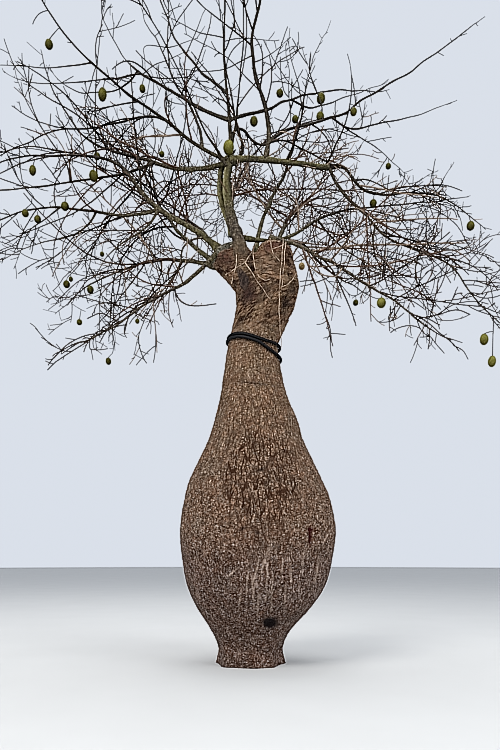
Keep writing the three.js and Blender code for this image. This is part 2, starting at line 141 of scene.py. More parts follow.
# slimmer limbs, which the solids hold inside their sprays
SLIM = {
    "companion": (("centre", 0.10), 1.12, (48, 40), [(-98, 83), (-102, 64), (-139, 82), (-215, 83), (-260, 40)], (1.0, 0.9)),
    "second_strand": (("centre", 0.333), 1.73, (22, 5), [(94, 5), (229, 61), (210, 71), (214, 67), (194, 71), (198, 70)], (0.2, 0.1)),
    "shoot_right": (("arch_right", 0.95), 1.20, (17, 4), [(109, 59), (150, 35), (176, 46), (202, 36)], (0.2, 0.1)),
    "front_lean": (("arch_right", 0.56), 1.25, (20, 4), [(150, 36), (166, 30), (176, 10), (172, -4)], (0.2, 0.1)),
    "knob_left": (("upper_left", 0.50), 2.21, (15, 4), [(-49, -30), (-59, 16), (-62, 20), (-56, 44), (-54, 50)], (0.2, 0.1)),
    "level_high": (("upper_left", 0.479), 2.05, (14, 4), [(-84, -6), (-83, -1), (-83, 4), (-82, 30)], (0.1, 0.1)),
    "level_top": (("long_left", 0.708), 1.19, (10, 4), [(-87, -10), (-87, 0), (-87, 7), (-87, -2)], (0.1, 0.1)),
    "low_rise": (("falling_left", 0.542), 1.76, (13, 4), [(-58, 82), (-76, 55), (-79, 57), (-77, 60), (-65, 74)], (0.1, 0.1)),
    "drop_a": (("level_left", 0.333), 1.58, (15, 4), [(-85, -65), (-87, -14), (-87, -16), (-87, -32)], (0.2, 0.1)),
    "drop_b": (("green_left", 0.271), 1.52, (20, 5), [(-151, -62), (-128, -43), (-133, -46), (-150, -59)], (0.5, 0.1)),
    "drop_c": (("limb_left", 0.333), 2.13, (19, 4), [(-48, -50), (-62, -31), (-59, -39), (-40, -58), (-49, -53)], (0.1, 0.1)),
    "drop_d": (("level_left", 0.542), 1.03, (12, 4), [(-71, -27), (-74, -23), (-62, -54), (-60, -56)], (0.1, 0.1)),
    "drop_f": (("green_left", 0.06), 2.16, (16, 4), [(-102, -2), (-171, -75), (-120, -48), (-137, -64), (-162, -70)], (0.1, 0.1)),
    "shoot_left": (("falling_left", 0.375), 1.93, (13, 4), [(152, 76), (185, 74), (148, 72), (138, 67)], (0.1, 0.1)),
    "steep_fork": (("steep_left", 0.542), 2.08, (14, 4), [(-32, 57), (-32, 56), (-35, 56), (-25, 61)], (0.1, 0.1)),
    "rising_fork": (("rising_right", 0.542), 1.04, (13, 4), [(-114, 29), (-118, 15), (-118, 19), (-132, 40)], (0.1, 0.1)),
    "rising_side": (("rising_right", 0.469), 0.46, (9, 4), [(108, -1), (111, 18), (113, 27)], (0.1, 0.1)),
    "mid_fork": (("mid_right", 0.417), 2.15, (16, 4), [(51, -4), (59, 36), (58, 30), (61, 35)], (0.1, 0.1)),
    "right_fork": (("long_right", 0.292), 2.47, (16, 4), [(56, -20), (63, 31), (63, 23), (64, 31), (64, 31)], (0.1, 0.1)),
    "right_low": (("right_fork", 0.083), 1.48, (12, 4), [(45, -4), (48, 8), (46, -4), (42, -14)], (0.1, 0.1)),
    "sagging": (("centre", 0.40), 1.71, (20, 9), [(91, 75), (91, -57), (91, 19), (91, -27), (91, -25), (91, -32)], (0.1, 0.1)),
    "tip_fork_a": (("tip_right", 0.729), 0.82, (9, 3.5), [(47, 37), (41, 51), (41, 50)], (0.1, 0.1)),
    "tip_fork_b": (("tip_right", 0.208), 1.79, (13, 4), [(45, 38), (57, -10), (57, 39), (56, 34)], (0.1, 0.1)),
    "top_right_a": (("long_right", 0.146), 1.02, (12, 4), [(101, 67), (248, 78), (254, 73), (247, 79)], (0.1, 0.1)),
    "top_right_b": (("long_right", 0.25), 1.50, (9, 4), [(7, 66), (-26, 67), (-34, 65), (-19, 70)], (0.1, 0.1)),
    "top_right_c": (("rising_right", 0.125), 1.97, (10, 4), [(70, 15), (-10, 70), (5, 70), (-23, 69)], (0.1, 0.1)),
    "low_right_b": (("spread_right", 0.333), 2.21, (15, 4), [(66, -46), (69, -27), (72, -20), (71, -28), (69, -38)], (0.1, 0.1)),
    "low_right_c": (("drop_right", 0.30), 1.76, (14, 4), [(-144, -61), (-201, -62), (-201, -61), (-169, -63)], (0.1, 0.1)),
    "low_right_d": (("drop_right", 0.505), 1.2, (12, 4), [(-24, -42), (38, -42), (33, -45), (4, -54)], (0.1, 0.1)),
    "top_middle": (("rising_fork", 0.250), 0.74, (8, 4), [(-21, 82), (-6, 82), (-6, 82)], (0.1, 0.1)),
    "top_left_a": (("rising_left", 0.385), 0.48, (8, 4), [(121, 54), (123, 56), (127, 58)], (0.1, 0.1)),
    "level_a": (("centre", 0.698), 0.75, (8, 4), [(-112, -7), (-113, -5), (-115, 6), (-116, 12)], (0.1, 0.1)),
    "level_b": (("rising_right", 0.500), 1.20, (9, 4), [(-76, -19), (-77, -15), (-77, -13), (-78, 4), (-78, 18), (-78, 16), (-78, 10)], (0.1, 0.1)),
    "level_c": (("centre", 0.688), 0.70, (7, 4), [(72, 28), (72, 19), (73, 9), (73, 6)], (0.1, 0.1)),
    "level_d": (("upper_left", 0.469), 0.75, (9, 4), [(66, 50), (69, 44), (72, 29), (71, 37), (71, 34)], (0.1, 0.1)),
    "level_e": (("steep_left", 0.677), 0.69, (7, 4), [(-104, 1), (-106, -4), (-217, -76), (-186, -79)], (0.1, 0.1)),
    "level_f": (("steep_left", 0.677), 0.44, (7, 4), [(67, 27), (66, 32), (66, 35)], (0.1, 0.1)),
    "slant_a": (("rising_right", 0.312), 1.11, (9, 4), [(-108, 42), (-107, 39), (-107, 39), (-106, 34), (-104, 25), (-103, 16), (-104, 22)], (0.1, 0.1)),
    "slant_b": (("upper_left", 0.250), 0.43, (8, 4), [(142, 52), (132, 44), (121, 29)], (0.1, 0.1)),
    "sagging_left": (("upper_left", 0.469), 1.30, (10, 4), [(102, -24), (102, -15), (102, -6), (102, -9), (104, -38), (103, -33), (102, -21)], (0.1, 0.1)),
}

# girth of the limbs that do not taper evenly: (how far along, radius mm)
GIRTH = {
    "centre": [(0.0, 80), (0.10, 70), (0.20, 62), (0.31, 57), (0.333, 63), (0.36, 36), (0.50, 21), (0.70, 14), (0.88, 11), (1.0, 7)],
    "arch_right": [(0.0, 52), (0.12, 42), (0.50, 38), (0.90, 35), (1.0, 42)],
    "drop_right": [(0.0, 23), (0.30, 18), (0.60, 13), (1.0, 7)],
    "upper_left": [(0.0, 28), (0.30, 22), (0.50, 17), (0.56, 7), (1.0, 5)],
    "front_left": [(0.0, 24), (0.20, 13), (0.45, 8), (1.0, 5)],
    "front_middle": [(0.0, 22), (0.20, 12), (0.45, 8), (1.0, 5)],
    "green_right": [(0.0, 32), (0.30, 24), (0.50, 15), (0.62, 10), (1.0, 5)],
    "rising_right": [(0.0, 36), (0.10, 32), (0.35, 28), (0.55, 21), (0.75, 17), (1.0, 9)],
}

# how far each spray runs past its bough's tip (m)
PAST = {
    "centre": 0.42, "drop_right": 0.33, "limb_left": 0.33, "long_left": 0.42, "upper_left": 0.33,
    "rising_left": 0.30, "steep_left": 0.30, "rising_right": 0.42, "long_right": 0.20, "mid_right": 0.30,
    "tip_right": 0.33, "spread_right": 0.33, "green_right": 0.30, "low_right": 0.42, "green_left": 0.38,
    "crook_left": 0.42, "level_left": 0.33, "falling_left": 0.38, "fan_left": 0.30, "back_left": 0.42,
    "back_middle": 0.42, "back_right": 0.42, "back_low_left": 0.42, "front_middle": 0.38,
    "front_left": 0.38, "front_right": 0.38, "front_low_left": 0.38,
}

# twigs are joined by the side of the crown that they are on
SIDES = {
    "left": ["limb_left", "green_left", "level_left", "falling_left"],
    "upper_left": ["long_left", "upper_left", "rising_left", "steep_left", "fan_left"],
    "top": ["centre", "rising_right", "mid_right", "crook_left", "arch_right"],
    "right": ["long_right", "tip_right", "spread_right", "green_right"],
    "low_right": ["drop_right", "low_right", "front_right"],
    "back": ["back_left", "back_middle", "back_right", "back_low_left"],
    "front": ["front_middle", "front_left", "front_low_left"],
}
# how thickly a limb is set with side branches, where that isn't 1, and how long they are
FULL = {
    "long_right": (0.40, 0.40), "right_fork": (0.30, 0.35), "long_left": (0.75, 0.8), "level_top": (0.6, 0.6),
    "green_right": (1.1, 0.8), "shoot_right": (0.6, 0.6), "tip_fork_a": (0.6, 0.6), "rising_right": (0.8, 0.8),
    "centre": (0.75, 0.8), "rising_left": (0.8, 0.8), "top_middle": (0.8, 0.8), "front_middle": (1.1, 1.1),
    "front_left": (1.0, 1.0), "back_left": (1.5, 1.2), "back_middle": (1.6, 1.3), "back_right": (1.6, 1.3),
    "level_a": (0.25, 0.6), "level_b": (0.25, 0.6), "level_c": (0.25, 0.6), "level_d": (0.25, 0.6), "level_e": (0.25, 0.6),
    "level_f": (0.25, 0.6), "slant_a": (0.25, 0.6), "slant_b": (0.25, 0.6), "sagging_left": (0.5, 0.6), "top_left_a": (0.25, 0.6),
    "top_middle": (0.25, 0.6), "rising_side": (0.25, 0.6),
    "back_low_left": (1.5, 1.3), "low_right": (1.5, 1.3), "drop_right": (1.3, 1.2), "spread_right": (1.4, 1.2),
    "tip_right": (1.2, 1.0), "front_right": (1.1, 1.1), "front_low_left": (1.1, 1.1), "level_left": (1.2, 1.1),
    "falling_left": (1.2, 1.1), "crook_left": (1.4, 1.2), "green_left": (1.2, 1.1), "limb_left": (1.1, 1.0),
    "arch_right": (1.3, 1.2), "fan_left": (1.2, 1.0),
}
# limbs whose side branches hang
HANGING_LIMBS = {"low_right", "drop_right", "front_right", "front_low_left", "back_low_left", "level_left",
                 "falling_left", "tip_right", "spread_right", "low_right_b", "low_right_c", "low_right_d",
                 "drop_a", "drop_b", "drop_c", "drop_d", "drop_f", "back_left", "back_right", "green_left"}
# where the view shows open sky past the crown: middle and half sizes in pixels of the picture
SKY = [(350, 2, 72, 42), (450, 4, 62, 26), (448, 88, 58, 36), (452, 146, 62, 34), (500, 178, 34, 26),
       (12, 18, 30, 32), (84, 10, 14, 24), (385, 45, 36, 26), (395, 140, 22, 16)]

# how much of the twigs stays: everywhere, and towards places of the view (middle, sizes, share)
SHARE = 0.60
SHARES = [
    (150, 10, 70, 34, 0.09), (215, 25, 60, 50, 0.10), (300, 25, 80, 50, 0.07), (40, 62, 50, 36, 0.10), (235, 55, 40, 40, 0.12),
    (20, 100, 34, 26, 0.06), (62, 97, 26, 22, 0.14), (30, 140, 44, 24, 0.42), (6, 190, 20, 20, 0.30), (90, 115, 60, 34, 0.50), (160, 42, 50, 16, 0.18), (290, 38, 30, 16, 0.06), (305, 80, 34, 44, 0.16), (190, 92, 30, 22, 0.80), (358, 165, 16, 16, 1.0), (330, 120, 30, 20, 0.40), (200, 165, 60, 50, 1.0),
    (238, 12, 14, 20, 0.02), (62, 28, 20, 14, 0.08), (375, 90, 16, 14, 0.05),
    (175, 205, 60, 30, 0.85), (300, 200, 70, 46, 1.0), (345, 155, 20, 20, 0.9), (330, 240, 50, 26, 1.0),
    (390, 260, 80, 60, 0.9), (90, 280, 100, 60, 0.9), (60, 190, 60, 36, 0.60),
]

# pods: picture position of the middle, width and height in pixels
PODS = [
    (49, 44, 7, 9.5), (103, 94, 7.5, 13), (142, 88.5, 5.5, 8), (229, 147, 9.5, 14), (254, 121, 7, 9.5),
    (279.5, 93, 6.5, 7.5), (321.5, 98, 7.5, 11), (320, 116.5, 7, 10), (295, 119, 6, 7.5), (354, 111.5, 6, 8),
    (388, 166, 5, 6), (97, 156, 6, 7.5), (33, 170, 6, 10), (93, 175.5, 8, 11), (162, 154, 5, 6),
    (65, 206, 7, 8.5), (25, 213, 6, 7.5), (38, 219, 6, 7.5), (102, 254, 4, 5), (66.5, 284, 6, 7.5),
    (71, 279, 4, 5), (90, 289.5, 6, 8), (79.5, 322, 5, 6), (137.5, 321, 4, 5), (108, 361, 5, 7),
    (373.5, 203, 6.5, 7.5), (470.5, 225.5, 7, 9), (381, 302.5, 8, 10), (356, 302.5, 5, 6),
    (301.5, 266, 5.5, 7), (484, 339, 7.5, 11), (492.5, 361, 7, 11),
]
BRIGHT_PODS, RIPE_PODS = {3, 27, 30, 31}, {29}


# ------------------------------------------------------------------ seeded noise
def hashed(ix, iy, iz, seed):
    h = (ix.astype(np.int64).astype(np.uint32) * np.uint32(0x8DA6B343))
    h ^= iy.astype(np.int64).astype(np.uint32) * np.uint32(0xD8163841)
    h ^= iz.astype(np.int64).astype(np.uint32) * np.uint32(0xCB1AB31F)
    h ^= np.uint32((seed * 2654435761) % 4294967296)
    h ^= h >> np.uint32(15)
    h *= np.uint32(0x2C1B3C6D)
    h ^= h >> np.uint32(12)
    h *= np.uint32(0x297A2D39)
    h ^= h >> np.uint32(15)
    return h.astype(np.float64) / 4294967296.0


def noise(p, size, seed):
    q = p / size
    i = np.floor(q)
    w = q - i
    w = w * w * (3.0 - 2.0 * w)
    out = 0.0
    for c in itertools.product((0, 1), repeat=3):
        k = 1.0
        for a in range(3):
            k = k * (w[:, a] if c[a] else 1.0 - w[:, a])
        out = out + k * hashed(i[:, 0] + c[0], i[:, 1] + c[1], i[:, 2] + c[2], seed)
    return 2.0 * out - 1.0


def rough(p, size, seed, octaves=3):
    out, amp, total = 0.0, 1.0, 0.0
    for k in range(octaves):
        out = out + amp * noise(p, size / 2.0 ** k, seed + 17 * k)
        total += amp
        amp *= 0.55
    return out / total


def cells(p, seed):
    """distance to the nearest and second nearest seed of a cell pattern, and the cell's own number"""
    base = np.floor(p)
    f1 = np.full(len(p), 9.0)
    f2 = np.full(len(p), 9.0)
    own = np.zeros(len(p))
    for c in itertools.product((-1, 0, 1), repeat=3):
        i = base + np.array(c)
        o = np.stack([hashed(i[:, 0], i[:, 1], i[:, 2], seed + s) for s in range(3)], 1)
        d = np.linalg.norm(i + 0.1 + 0.8 * o - p, axis=1)
        nearer = d < f1
        f2 = np.where(nearer, f1, np.minimum(f2, d))
        own = np.where(nearer, o[:, 0], own)
        f1 = np.where(nearer, d, f1)
    return f1, f2, own


def step(a, b, x):
    t = np.clip((x - a) / (b - a), 0.0, 1.0)
    return t * t * (3.0 - 2.0 * t)


# ------------------------------------------------------------------ meshes
def make(name, verts, tris, mat, attrs=None, smooth=True):
    me = bpy.data.meshes.new(name)
    me.vertices.add(len(verts))
    me.vertices.foreach_set("co", np.ascontiguousarray(verts, np.float32).ravel())
    me.loops.add(3 * len(tris))
    me.loops.foreach_set("vertex_index", np.ascontiguousarray(tris, np.int32).ravel())
    me.polygons.add(len(tris))
    me.polygons.foreach_set("loop_start", np.arange(0, 3 * len(tris), 3, dtype=np.int32))
    me.polygons.foreach_set("use_smooth", np.full(len(tris), smooth))
    for key, values in (attrs or {}).items():
        me.attributes.new(key, "FLOAT", "POINT").data.foreach_set("value", np.asarray(values, np.float32))
    me.update(calc_edges=True)
    me.materials.append(mat)
    ob = bpy.data.objects.new(name, me)
    bpy.context.scene.collection.objects.link(ob)
    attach(ob, "root")
    return ob


def unit(v):
    return v / np.maximum(np.linalg.norm(v, axis=-1, keepdims=True), 1e-12)


def tubes(paths, radii, sides):
    """closed tubes along equal-length paths: (n, k, 3) and (n, k)"""
    b, n, _ = paths.shape
    way = unit(np.gradient(paths, axis=1))
    ref = np.where(np.abs(way[:, :1, 2]) < 0.9, [[0.0, 0.0, 1.0]], [[1.0, 0.0, 0.0]])
    s = unit(np.cross(ref, way[:, 0]))
    side = np.empty_like(paths)
    for k in range(n):
        s = unit(s - way[:, k] * (s * way[:, k]).sum(1, keepdims=True))
        side[:, k] = s
    up = np.cross(way, side)
    a = np.arange(sides) * 2.0 * np.pi / sides
    ring = np.cos(a)[:, None] * side[:, :, None, :] + np.sin(a)[:, None] * up[:, :, None, :]
    verts = paths[:, :, None, :] + radii[:, :, None, None] * ring
    j = np.arange(sides)
    k = np.arange(n - 1)[:, None] * sides
    p0, p1 = k + j, k + (j + 1) % sides
    p2, p3 = p1 + sides, p0 + sides
    walls = np.concatenate([np.stack([p0, p1, p2], -1), np.stack([p0, p2, p3], -1)]).reshape(-1, 3)
    fan = np.stack([np.zeros(sides - 2, int), np.arange(1, sides - 1), np.arange(2, sides)], 1)
    one = np.concatenate([walls, fan[:, ::-1], fan + (n - 1) * sides])
    tris = (one[None] + (np.arange(b) * n * sides)[:, None, None]).reshape(-1, 3)
    return verts.reshape(-1, 3), tris, ring.reshape(-1, 3)


def joined(parts):
    verts, tris, base = [], [], 0
    for v, t in parts:
        verts.append(v)
        tris.append(t + base)
        base += len(v)
    return np.concatenate(verts), np.concatenate(tris)


# ------------------------------------------------------------------ materials
class Look:
    """a principled material built from nodes"""

    def __init__(self, name, roughness, specular=0.3):
        self.mat = bpy.data.materials.new(name)
        self.mat.use_nodes = True
        self.tree = self.mat.node_tree
        self.shader = self.tree.nodes["Principled BSDF"]
        self.shader.inputs["Roughness"].default_value = roughness
        self.shader.inputs["Specular IOR Level"].default_value = specular
        self.where = self.tree.nodes.new("ShaderNodeTexCoord").outputs["Object"]

    def put(self, socket, value):
        if isinstance(value, (int, float)):
            socket.default_value = value
        elif isinstance(value, (tuple, list)):
            socket.default_value = tuple(value) + ((1.0,) if len(value) == 3 and len(socket.default_value) == 4 else ())
        else:
            self.tree.links.new(value, socket)

    def attr(self, name):
        n = self.tree.nodes.new("ShaderNodeAttribute")
        n.attribute_name = name
        return n.outputs["Fac"]

    def stretch(self, x, y, z, vector=None):
        n = self.tree.nodes.new("ShaderNodeVectorMath")
        n.operation = "MULTIPLY"
        self.put(n.inputs[0], vector or self.where)
        n.inputs[1].default_value = (x, y, z)
        return n.outputs[0]

    def noise(self, scale, detail=3.0, roughness=0.55, vector=None, colour=False):
        n = self.tree.nodes.new("ShaderNodeTexNoise")
        self.put(n.inputs["Vector"], vector or self.where)
        n.inputs["Scale"].default_value = scale
        n.inputs["Detail"].default_value = detail
        n.inputs["Roughness"].default_value = roughness
        return n.outputs["Color" if colour else "Fac"]

    def edges(self, scale, vector=None, what="DISTANCE_TO_EDGE"):
        n = self.tree.nodes.new("ShaderNodeTexVoronoi")
        n.feature = what
        self.put(n.inputs["Vector"], vector or self.where)
        n.inputs["Scale"].default_value = scale
        return n.outputs["Distance"]

    def cell_tint(self, scale, vector=None):
        n = self.tree.nodes.new("ShaderNodeTexVoronoi")
        self.put(n.inputs["Vector"], vector or self.where)
        n.inputs["Scale"].default_value = scale
        s = self.tree.nodes.new("ShaderNodeSeparateColor")
        self.put(s.inputs[0], n.outputs["Color"])
        return s.outputs[0]

    def warped(self, amount, scale, vector=None):
        vector = vector or self.where
        n = self.tree.nodes.new("ShaderNodeVectorMath")
        n.operation = "MULTIPLY_ADD"
        self.put(n.inputs[0], self.noise(scale, 2.0, 0.5, vector, colour=True))
        n.inputs[1].default_value = (amount, amount, amount)
        self.put(n.inputs[2], vector)
        return n.outputs[0]

    def moved(self, x, y, z, vector=None):
        n = self.tree.nodes.new("ShaderNodeVectorMath")
        n.operation = "ADD"
        self.put(n.inputs[0], vector or self.where)
        n.inputs[1].default_value = (x, y, z)
        return n.outputs[0]

    def turned(self, degrees, vector=None):
        """turned about the Y axis"""
        n = self.tree.nodes.new("ShaderNodeVectorRotate")
        n.rotation_type = "Y_AXIS"
        self.put(n.inputs["Vector"], vector or self.where)
        n.inputs["Angle"].default_value = math.radians(degrees)
        return n.outputs[0]

    def ridge(self, scale, width, vector, detail=3.0, core=0.0):
        """thin wavy lines: 1 in the core of a line, 0 beyond the width"""
        n = self.noise(scale, detail, 0.6, vector)
        return self.span(self.math("ABSOLUTE", self.math("SUBTRACT", n, 0.5)), core * width, width, 1.0, 0.0)

    def furrows(self, scale, tall, core, edge, wide, skin):
        """a net of cells, so much taller than wide, over the skin: its lines reach core and edge metres from their middles"""
        n = self.tree.nodes.new("ShaderNodeTexVoronoi")
        n.feature = "DISTANCE_TO_EDGE"
        n.voronoi_dimensions = "2D"
        self.put(n.inputs["Vector"], self.stretch(1.0, 1.0 / tall, 1.0, skin))
        n.inputs["Scale"].default_value = scale
        d = self.math("SUBTRACT", n.outputs["Distance"], self.times(wide, scale))
        return self.span(d, core * scale, edge * scale, 1.0, 0.0)

    def skin(self):
        """distance round the trunk from its front, and height"""
        n = self.tree.nodes.new("ShaderNodeCombineXYZ")
        self.put(n.inputs[0], self.attr("around"))
        self.put(n.inputs[1], self.height())
        return n.outputs[0]

    def height(self):
        n = self.tree.nodes.new("ShaderNodeSeparateXYZ")
        self.put(n.inputs[0], self.where)
        return n.outputs["Z"]

    def math(self, op, a, b=0.0, clamp=False):
        n = self.tree.nodes.new("ShaderNodeMath")
        n.operation = op
        n.use_clamp = clamp
        self.put(n.inputs[0], a)
        self.put(n.inputs[1], b)
        return n.outputs[0]

    def span(self, value, lo, hi, to_lo=0.0, to_hi=1.0):
        n = self.tree.nodes.new("ShaderNodeMapRange")
        n.interpolation_type = "SMOOTHSTEP"
        self.put(n.inputs["Value"], value)
        n.inputs["From Min"].default_value = lo
        n.inputs["From Max"].default_value = hi
        n.inputs["To Min"].default_value = to_lo
        n.inputs["To Max"].default_value = to_hi
        return n.outputs["Result"]

    def mix(self, fac, a, b, mode="MIX"):
        n = self.tree.nodes.new("ShaderNodeMix")
        n.data_type = "RGBA"
        n.blend_type = mode
        self.put(n.inputs[0], fac)
        self.put(n.inputs[6], a)
        self.put(n.inputs[7], b)
        return n.outputs[2]

    def blend(self, f, a, b):
        """a where f is 0, b where it is 1"""
        return self.math("ADD", a, self.math("MULTIPLY", f, self.math("SUBTRACT", b, a)))

    def most(self, *values):
        out = values[0]
        for value in values[1:]:
            out = self.math("MAXIMUM", out, value)
        return out

    def times(self, *values):
        out = values[0]
        for value in values[1:]:
            out = self.math("MULTIPLY", out, value)
        return out

    def less(self, value, share=1.0):
        """1 less a share of the value"""
        return self.math("SUBTRACT", 1.0, self.math("MULTIPLY", value, share))

    def bump(self, height, strength, distance):
        n = self.tree.nodes.new("ShaderNodeBump")
        n.inputs["Strength"].default_value = strength
        n.inputs["Distance"].default_value = distance
        self.put(n.inputs["Height"], height)
        self.tree.links.new(n.outputs["Normal"], self.shader.inputs["Normal"])

    def colour(self, value):
        self.put(self.shader.inputs["Base Color"], value)


def bark_look(name):
    k = Look(name, 0.90, 0.15)
    zone = k.attr("zone")          # 0 low on the belly, 1 at the neck
    neck = k.attr("neck")          # 1 above the hose, where the bark is wrinkled
    rugged = k.attr("rugged")      # 1 where the bark is cracked most deeply
    plates = k.warped(0.026, 14.0, k.stretch(1.0, 1.0, 0.60))
    chips = k.warped(0.014, 30.0, k.moved(3.0, 7.0, 1.0, k.stretch(1.0, 1.0, 0.80)))
    lined = k.attr("lined")        # 1 where long cracks run up the trunk
    rising = k.stretch(0.36, 0.36, 1.3, k.turned(36.0, k.warped(0.03, 7.0)))
    level = k.stretch(0.34, 0.34, 1.40, k.warped(0.04, 7.0))
    # slow changes from grey-brown through ochre to red-brown
    hue = k.span(k.noise(5.5, 3.0), 0.32, 0.68)
    low = k.mix(hue, (0.216, 0.127, 0.080), (0.244, 0.127, 0.073))
    high = k.mix(hue, (0.243, 0.152, 0.084), (0.263, 0.144, 0.079))
    col = k.mix(zone, low, high)
    col = k.mix(k.span(k.noise(3.1, 2.0, 0.5, k.moved(9.0, 4.0, 2.0)), 0.50, 0.72, 0.0, 0.5), col, (0.190, 0.138, 0.092))
    # every plate and chip has a tint of its own, and a rough face that is grained up the trunk or across it
    grain = k.blend(k.most(lined, zone), k.noise(44.0, 3.0, 0.80, k.stretch(0.90, 0.90, 1.35)), k.noise(44.0, 3.0, 0.75, k.stretch(1.0, 1.0, 0.42)))
    under = k.span(k.height(), 3.70, 4.20)
    grain = k.blend(under, grain, k.noise(44.0, 3.0, 0.75, k.stretch(0.70, 0.70, 1.25)))
    gain = k.times(k.span(grain, 0.30, 0.70, 0.30, 1.70),
                   k.span(k.cell_tint(26.0, plates), 0.0, 1.0, 0.86, 1.14), k.span(k.cell_tint(54.0, chips), 0.0, 1.0, 0.62, 1.38))
    soft = k.less(k.most(k.times(neck, 0.62), k.times(zone, 0.40), k.times(under, 0.50), k.times(lined, 0.22)))
    gain = k.math("ADD", k.times(k.math("SUBTRACT", gain, 1.0), soft), 1.0)
    col = k.mix(1.0, col, k.math("MINIMUM", gain, 1.0), "MULTIPLY")
    col = k.mix(k.times(lined, 0.8), col, k.mix(1.0, col, (1.30, 1.33, 1.40), "MULTIPLY"))
    col = k.mix(k.span(gain, 1.0, 2.4, 0.0, 0.85), col, (0.560, 0.490, 0.415))
    # thin pale crests where the belly is streaked: a painted highlight along the crests
    crest = k.times(k.ridge(21.0, 0.044, k.moved(6.0, 1.0, 3.0, k.stretch(1.0, 1.0, 0.30)), 2.0, 0.2), k.span(k.noise(12.0, 2.0), 0.44, 0.60, 0.0, 0.45))
    long_crest = k.times(k.ridge(12.0, 0.036, k.moved(1.0, 3.0, 5.0, k.stretch(1.0, 1.0, 0.13, k.warped(0.03, 3.0))), 1.0, 0.3), k.attr("streaky"))
    col = k.mix(k.times(k.most(crest, long_crest), k.less(neck, 0.8)), col, (0.560, 0.410, 0.300))
    # the lower belly is more purple, and darkened towards the bottom as painted shade under the bulge of the belly
    col = k.mix(k.span(k.height(), 1.25, 2.05, 0.92, 0.0), col, k.mix(1.0, col, (0.70, 0.715, 0.83), "MULTIPLY"))
    # cracks: wavy ones up the trunk, short ones across, a net round the plates; they are drawn dark partly in the
    # bark's own colour and partly as painted shade in them
    skin = k.skin()
    wavy = k.warped(0.062, 10.0, skin)
    deep = k.times(rugged, 0.0016)
    tall = k.stretch(1.0, 0.55, 1.0, skin)
    long1 = k.times(k.furrows(12.5, 5.0, 0.0026, 0.0088, deep, wavy), k.span(k.noise(8.0, 2.0, 0.5, tall), 0.40, 0.49))
    long2 = k.times(k.furrows(19.0, 4.5, 0.0016, 0.0072, deep, k.moved(2.0, 1.0, 0.0, wavy)), k.span(k.noise(12.0, 2.0, 0.5, k.moved(4.0, 2.0, 1.0, tall)), 0.43, 0.53, 0.0, 0.90))
    furrow = k.times(k.most(long1, long2), k.attr("joint"))
    upright = k.times(k.ridge(21.0, 0.062, k.moved(2.0, 5.0, 3.0, k.stretch(1.0, 1.0, 0.26)), 2.0, 0.2), k.span(k.noise(13.0, 2.0), 0.42, 0.56, 0.25, 0.85))
    level1 = k.times(k.ridge(17.0, 0.052, k.stretch(0.50, 0.50, 1.50, k.warped(0.03, 9.0)), 2.0, 0.2), k.span(k.noise(15.0, 2.0, 0.5, k.moved(1.0, 8.0, 4.0)), 0.43, 0.54, 0.0, 0.92))
    net = k.times(k.span(k.edges(27.0, plates), 0.03, 0.15, 1.0, 0.0), k.span(k.noise(20.0, 2.0), 0.36, 0.52, 0.10, 0.70))
    blocks = k.times(k.furrows(15.0, 1.1, 0.0014, 0.0066, deep, k.moved(5.0, 2.0, 0.0, wavy)), k.span(k.noise(10.0, 2.0, 0.5, k.moved(4.0, 2.0, 6.0)), 0.43, 0.53, 0.0, 0.95), k.attr("joint"))
    lines = k.most(k.times(furrow, k.blend(k.span(lined, 0.0, 0.60), k.span(k.height(), 1.8, 2.6, 0.20, 0.46), 0.93)), k.times(upright, k.span(lined, 0.0, 1.0, 0.40, 0.60)), level1, net)
    lines = k.times(lines, k.less(neck, 0.85), k.less(zone, 0.15))
    lines = k.most(lines, k.times(k.most(blocks, furrow), k.span(rugged, 0.06, 0.60)))
    # wrinkles: rising to the right over the hose, level ones under the two limbs, drawn dark as the cracks are, partly
    # as painted shade in the creases
    high_up = k.span(k.height(), 5.10, 5.35)
    slant = k.most(k.ridge(11.0, 0.074, rising, 2.0, 0.3), k.times(k.ridge(21.0, 0.066, k.moved(4.0, 1.0, 6.0, rising), 2.0, 0.2), 0.8))
    folds = k.most(k.ridge(11.0, 0.070, level, 2.0, 0.3), k.times(k.ridge(21.0, 0.066, k.moved(4.0, 1.0, 6.0, level), 2.0, 0.2), 0.8))
    creases = k.times(k.blend(high_up, slant, folds), k.span(k.noise(7.0, 2.0), 0.38, 0.58, 0.40, 1.0))
    lines = k.most(lines, k.times(creases, neck))
    lines = k.math("MULTIPLY", lines, k.less(k.attr("pale")), clamp=True)
    # pale plates, and the painted highlight along the raised ridges
    col = k.mix(k.attr("pale"), col, (0.520, 0.390, 0.300))
    # the dark of the cracks and creases, drawn here and by the crack mark: partly the bark's own colour, partly painted
    # shade
    col = k.mix(k.math("MULTIPLY", lines, 0.96), col, (0.030, 0.010, 0.003))
    col = k.mix(k.attr("crack"), col, (0.018, 0.009, 0.006))
    # dark marks; in the hole low on the belly this is painted shade
    col = k.mix(k.attr("dark"), col, (0.012, 0.007, 0.007))
    col = k.mix(k.attr("red"), col, k.mix(k.span(k.noise(26.0, 3.0), 0.35, 0.62), (0.048, 0.024, 0.018), (0.150, 0.066, 0.044)))
    col = k.mix(k.attr("wound"), col, (0.045, 0.006, 0.005))
    col = k.mix(k.attr("cut"), col, k.mix(k.span(k.noise(34.0), 0.35, 0.65), (0.050, 0.048, 0.034), (0.190, 0.180, 0.135)))
    k.colour(col)
    k.bump(k.math("SUBTRACT", k.math("MULTIPLY", k.noise(60.0, 4.0), 0.8), lines), 1.0, 0.014)
    return k.mat


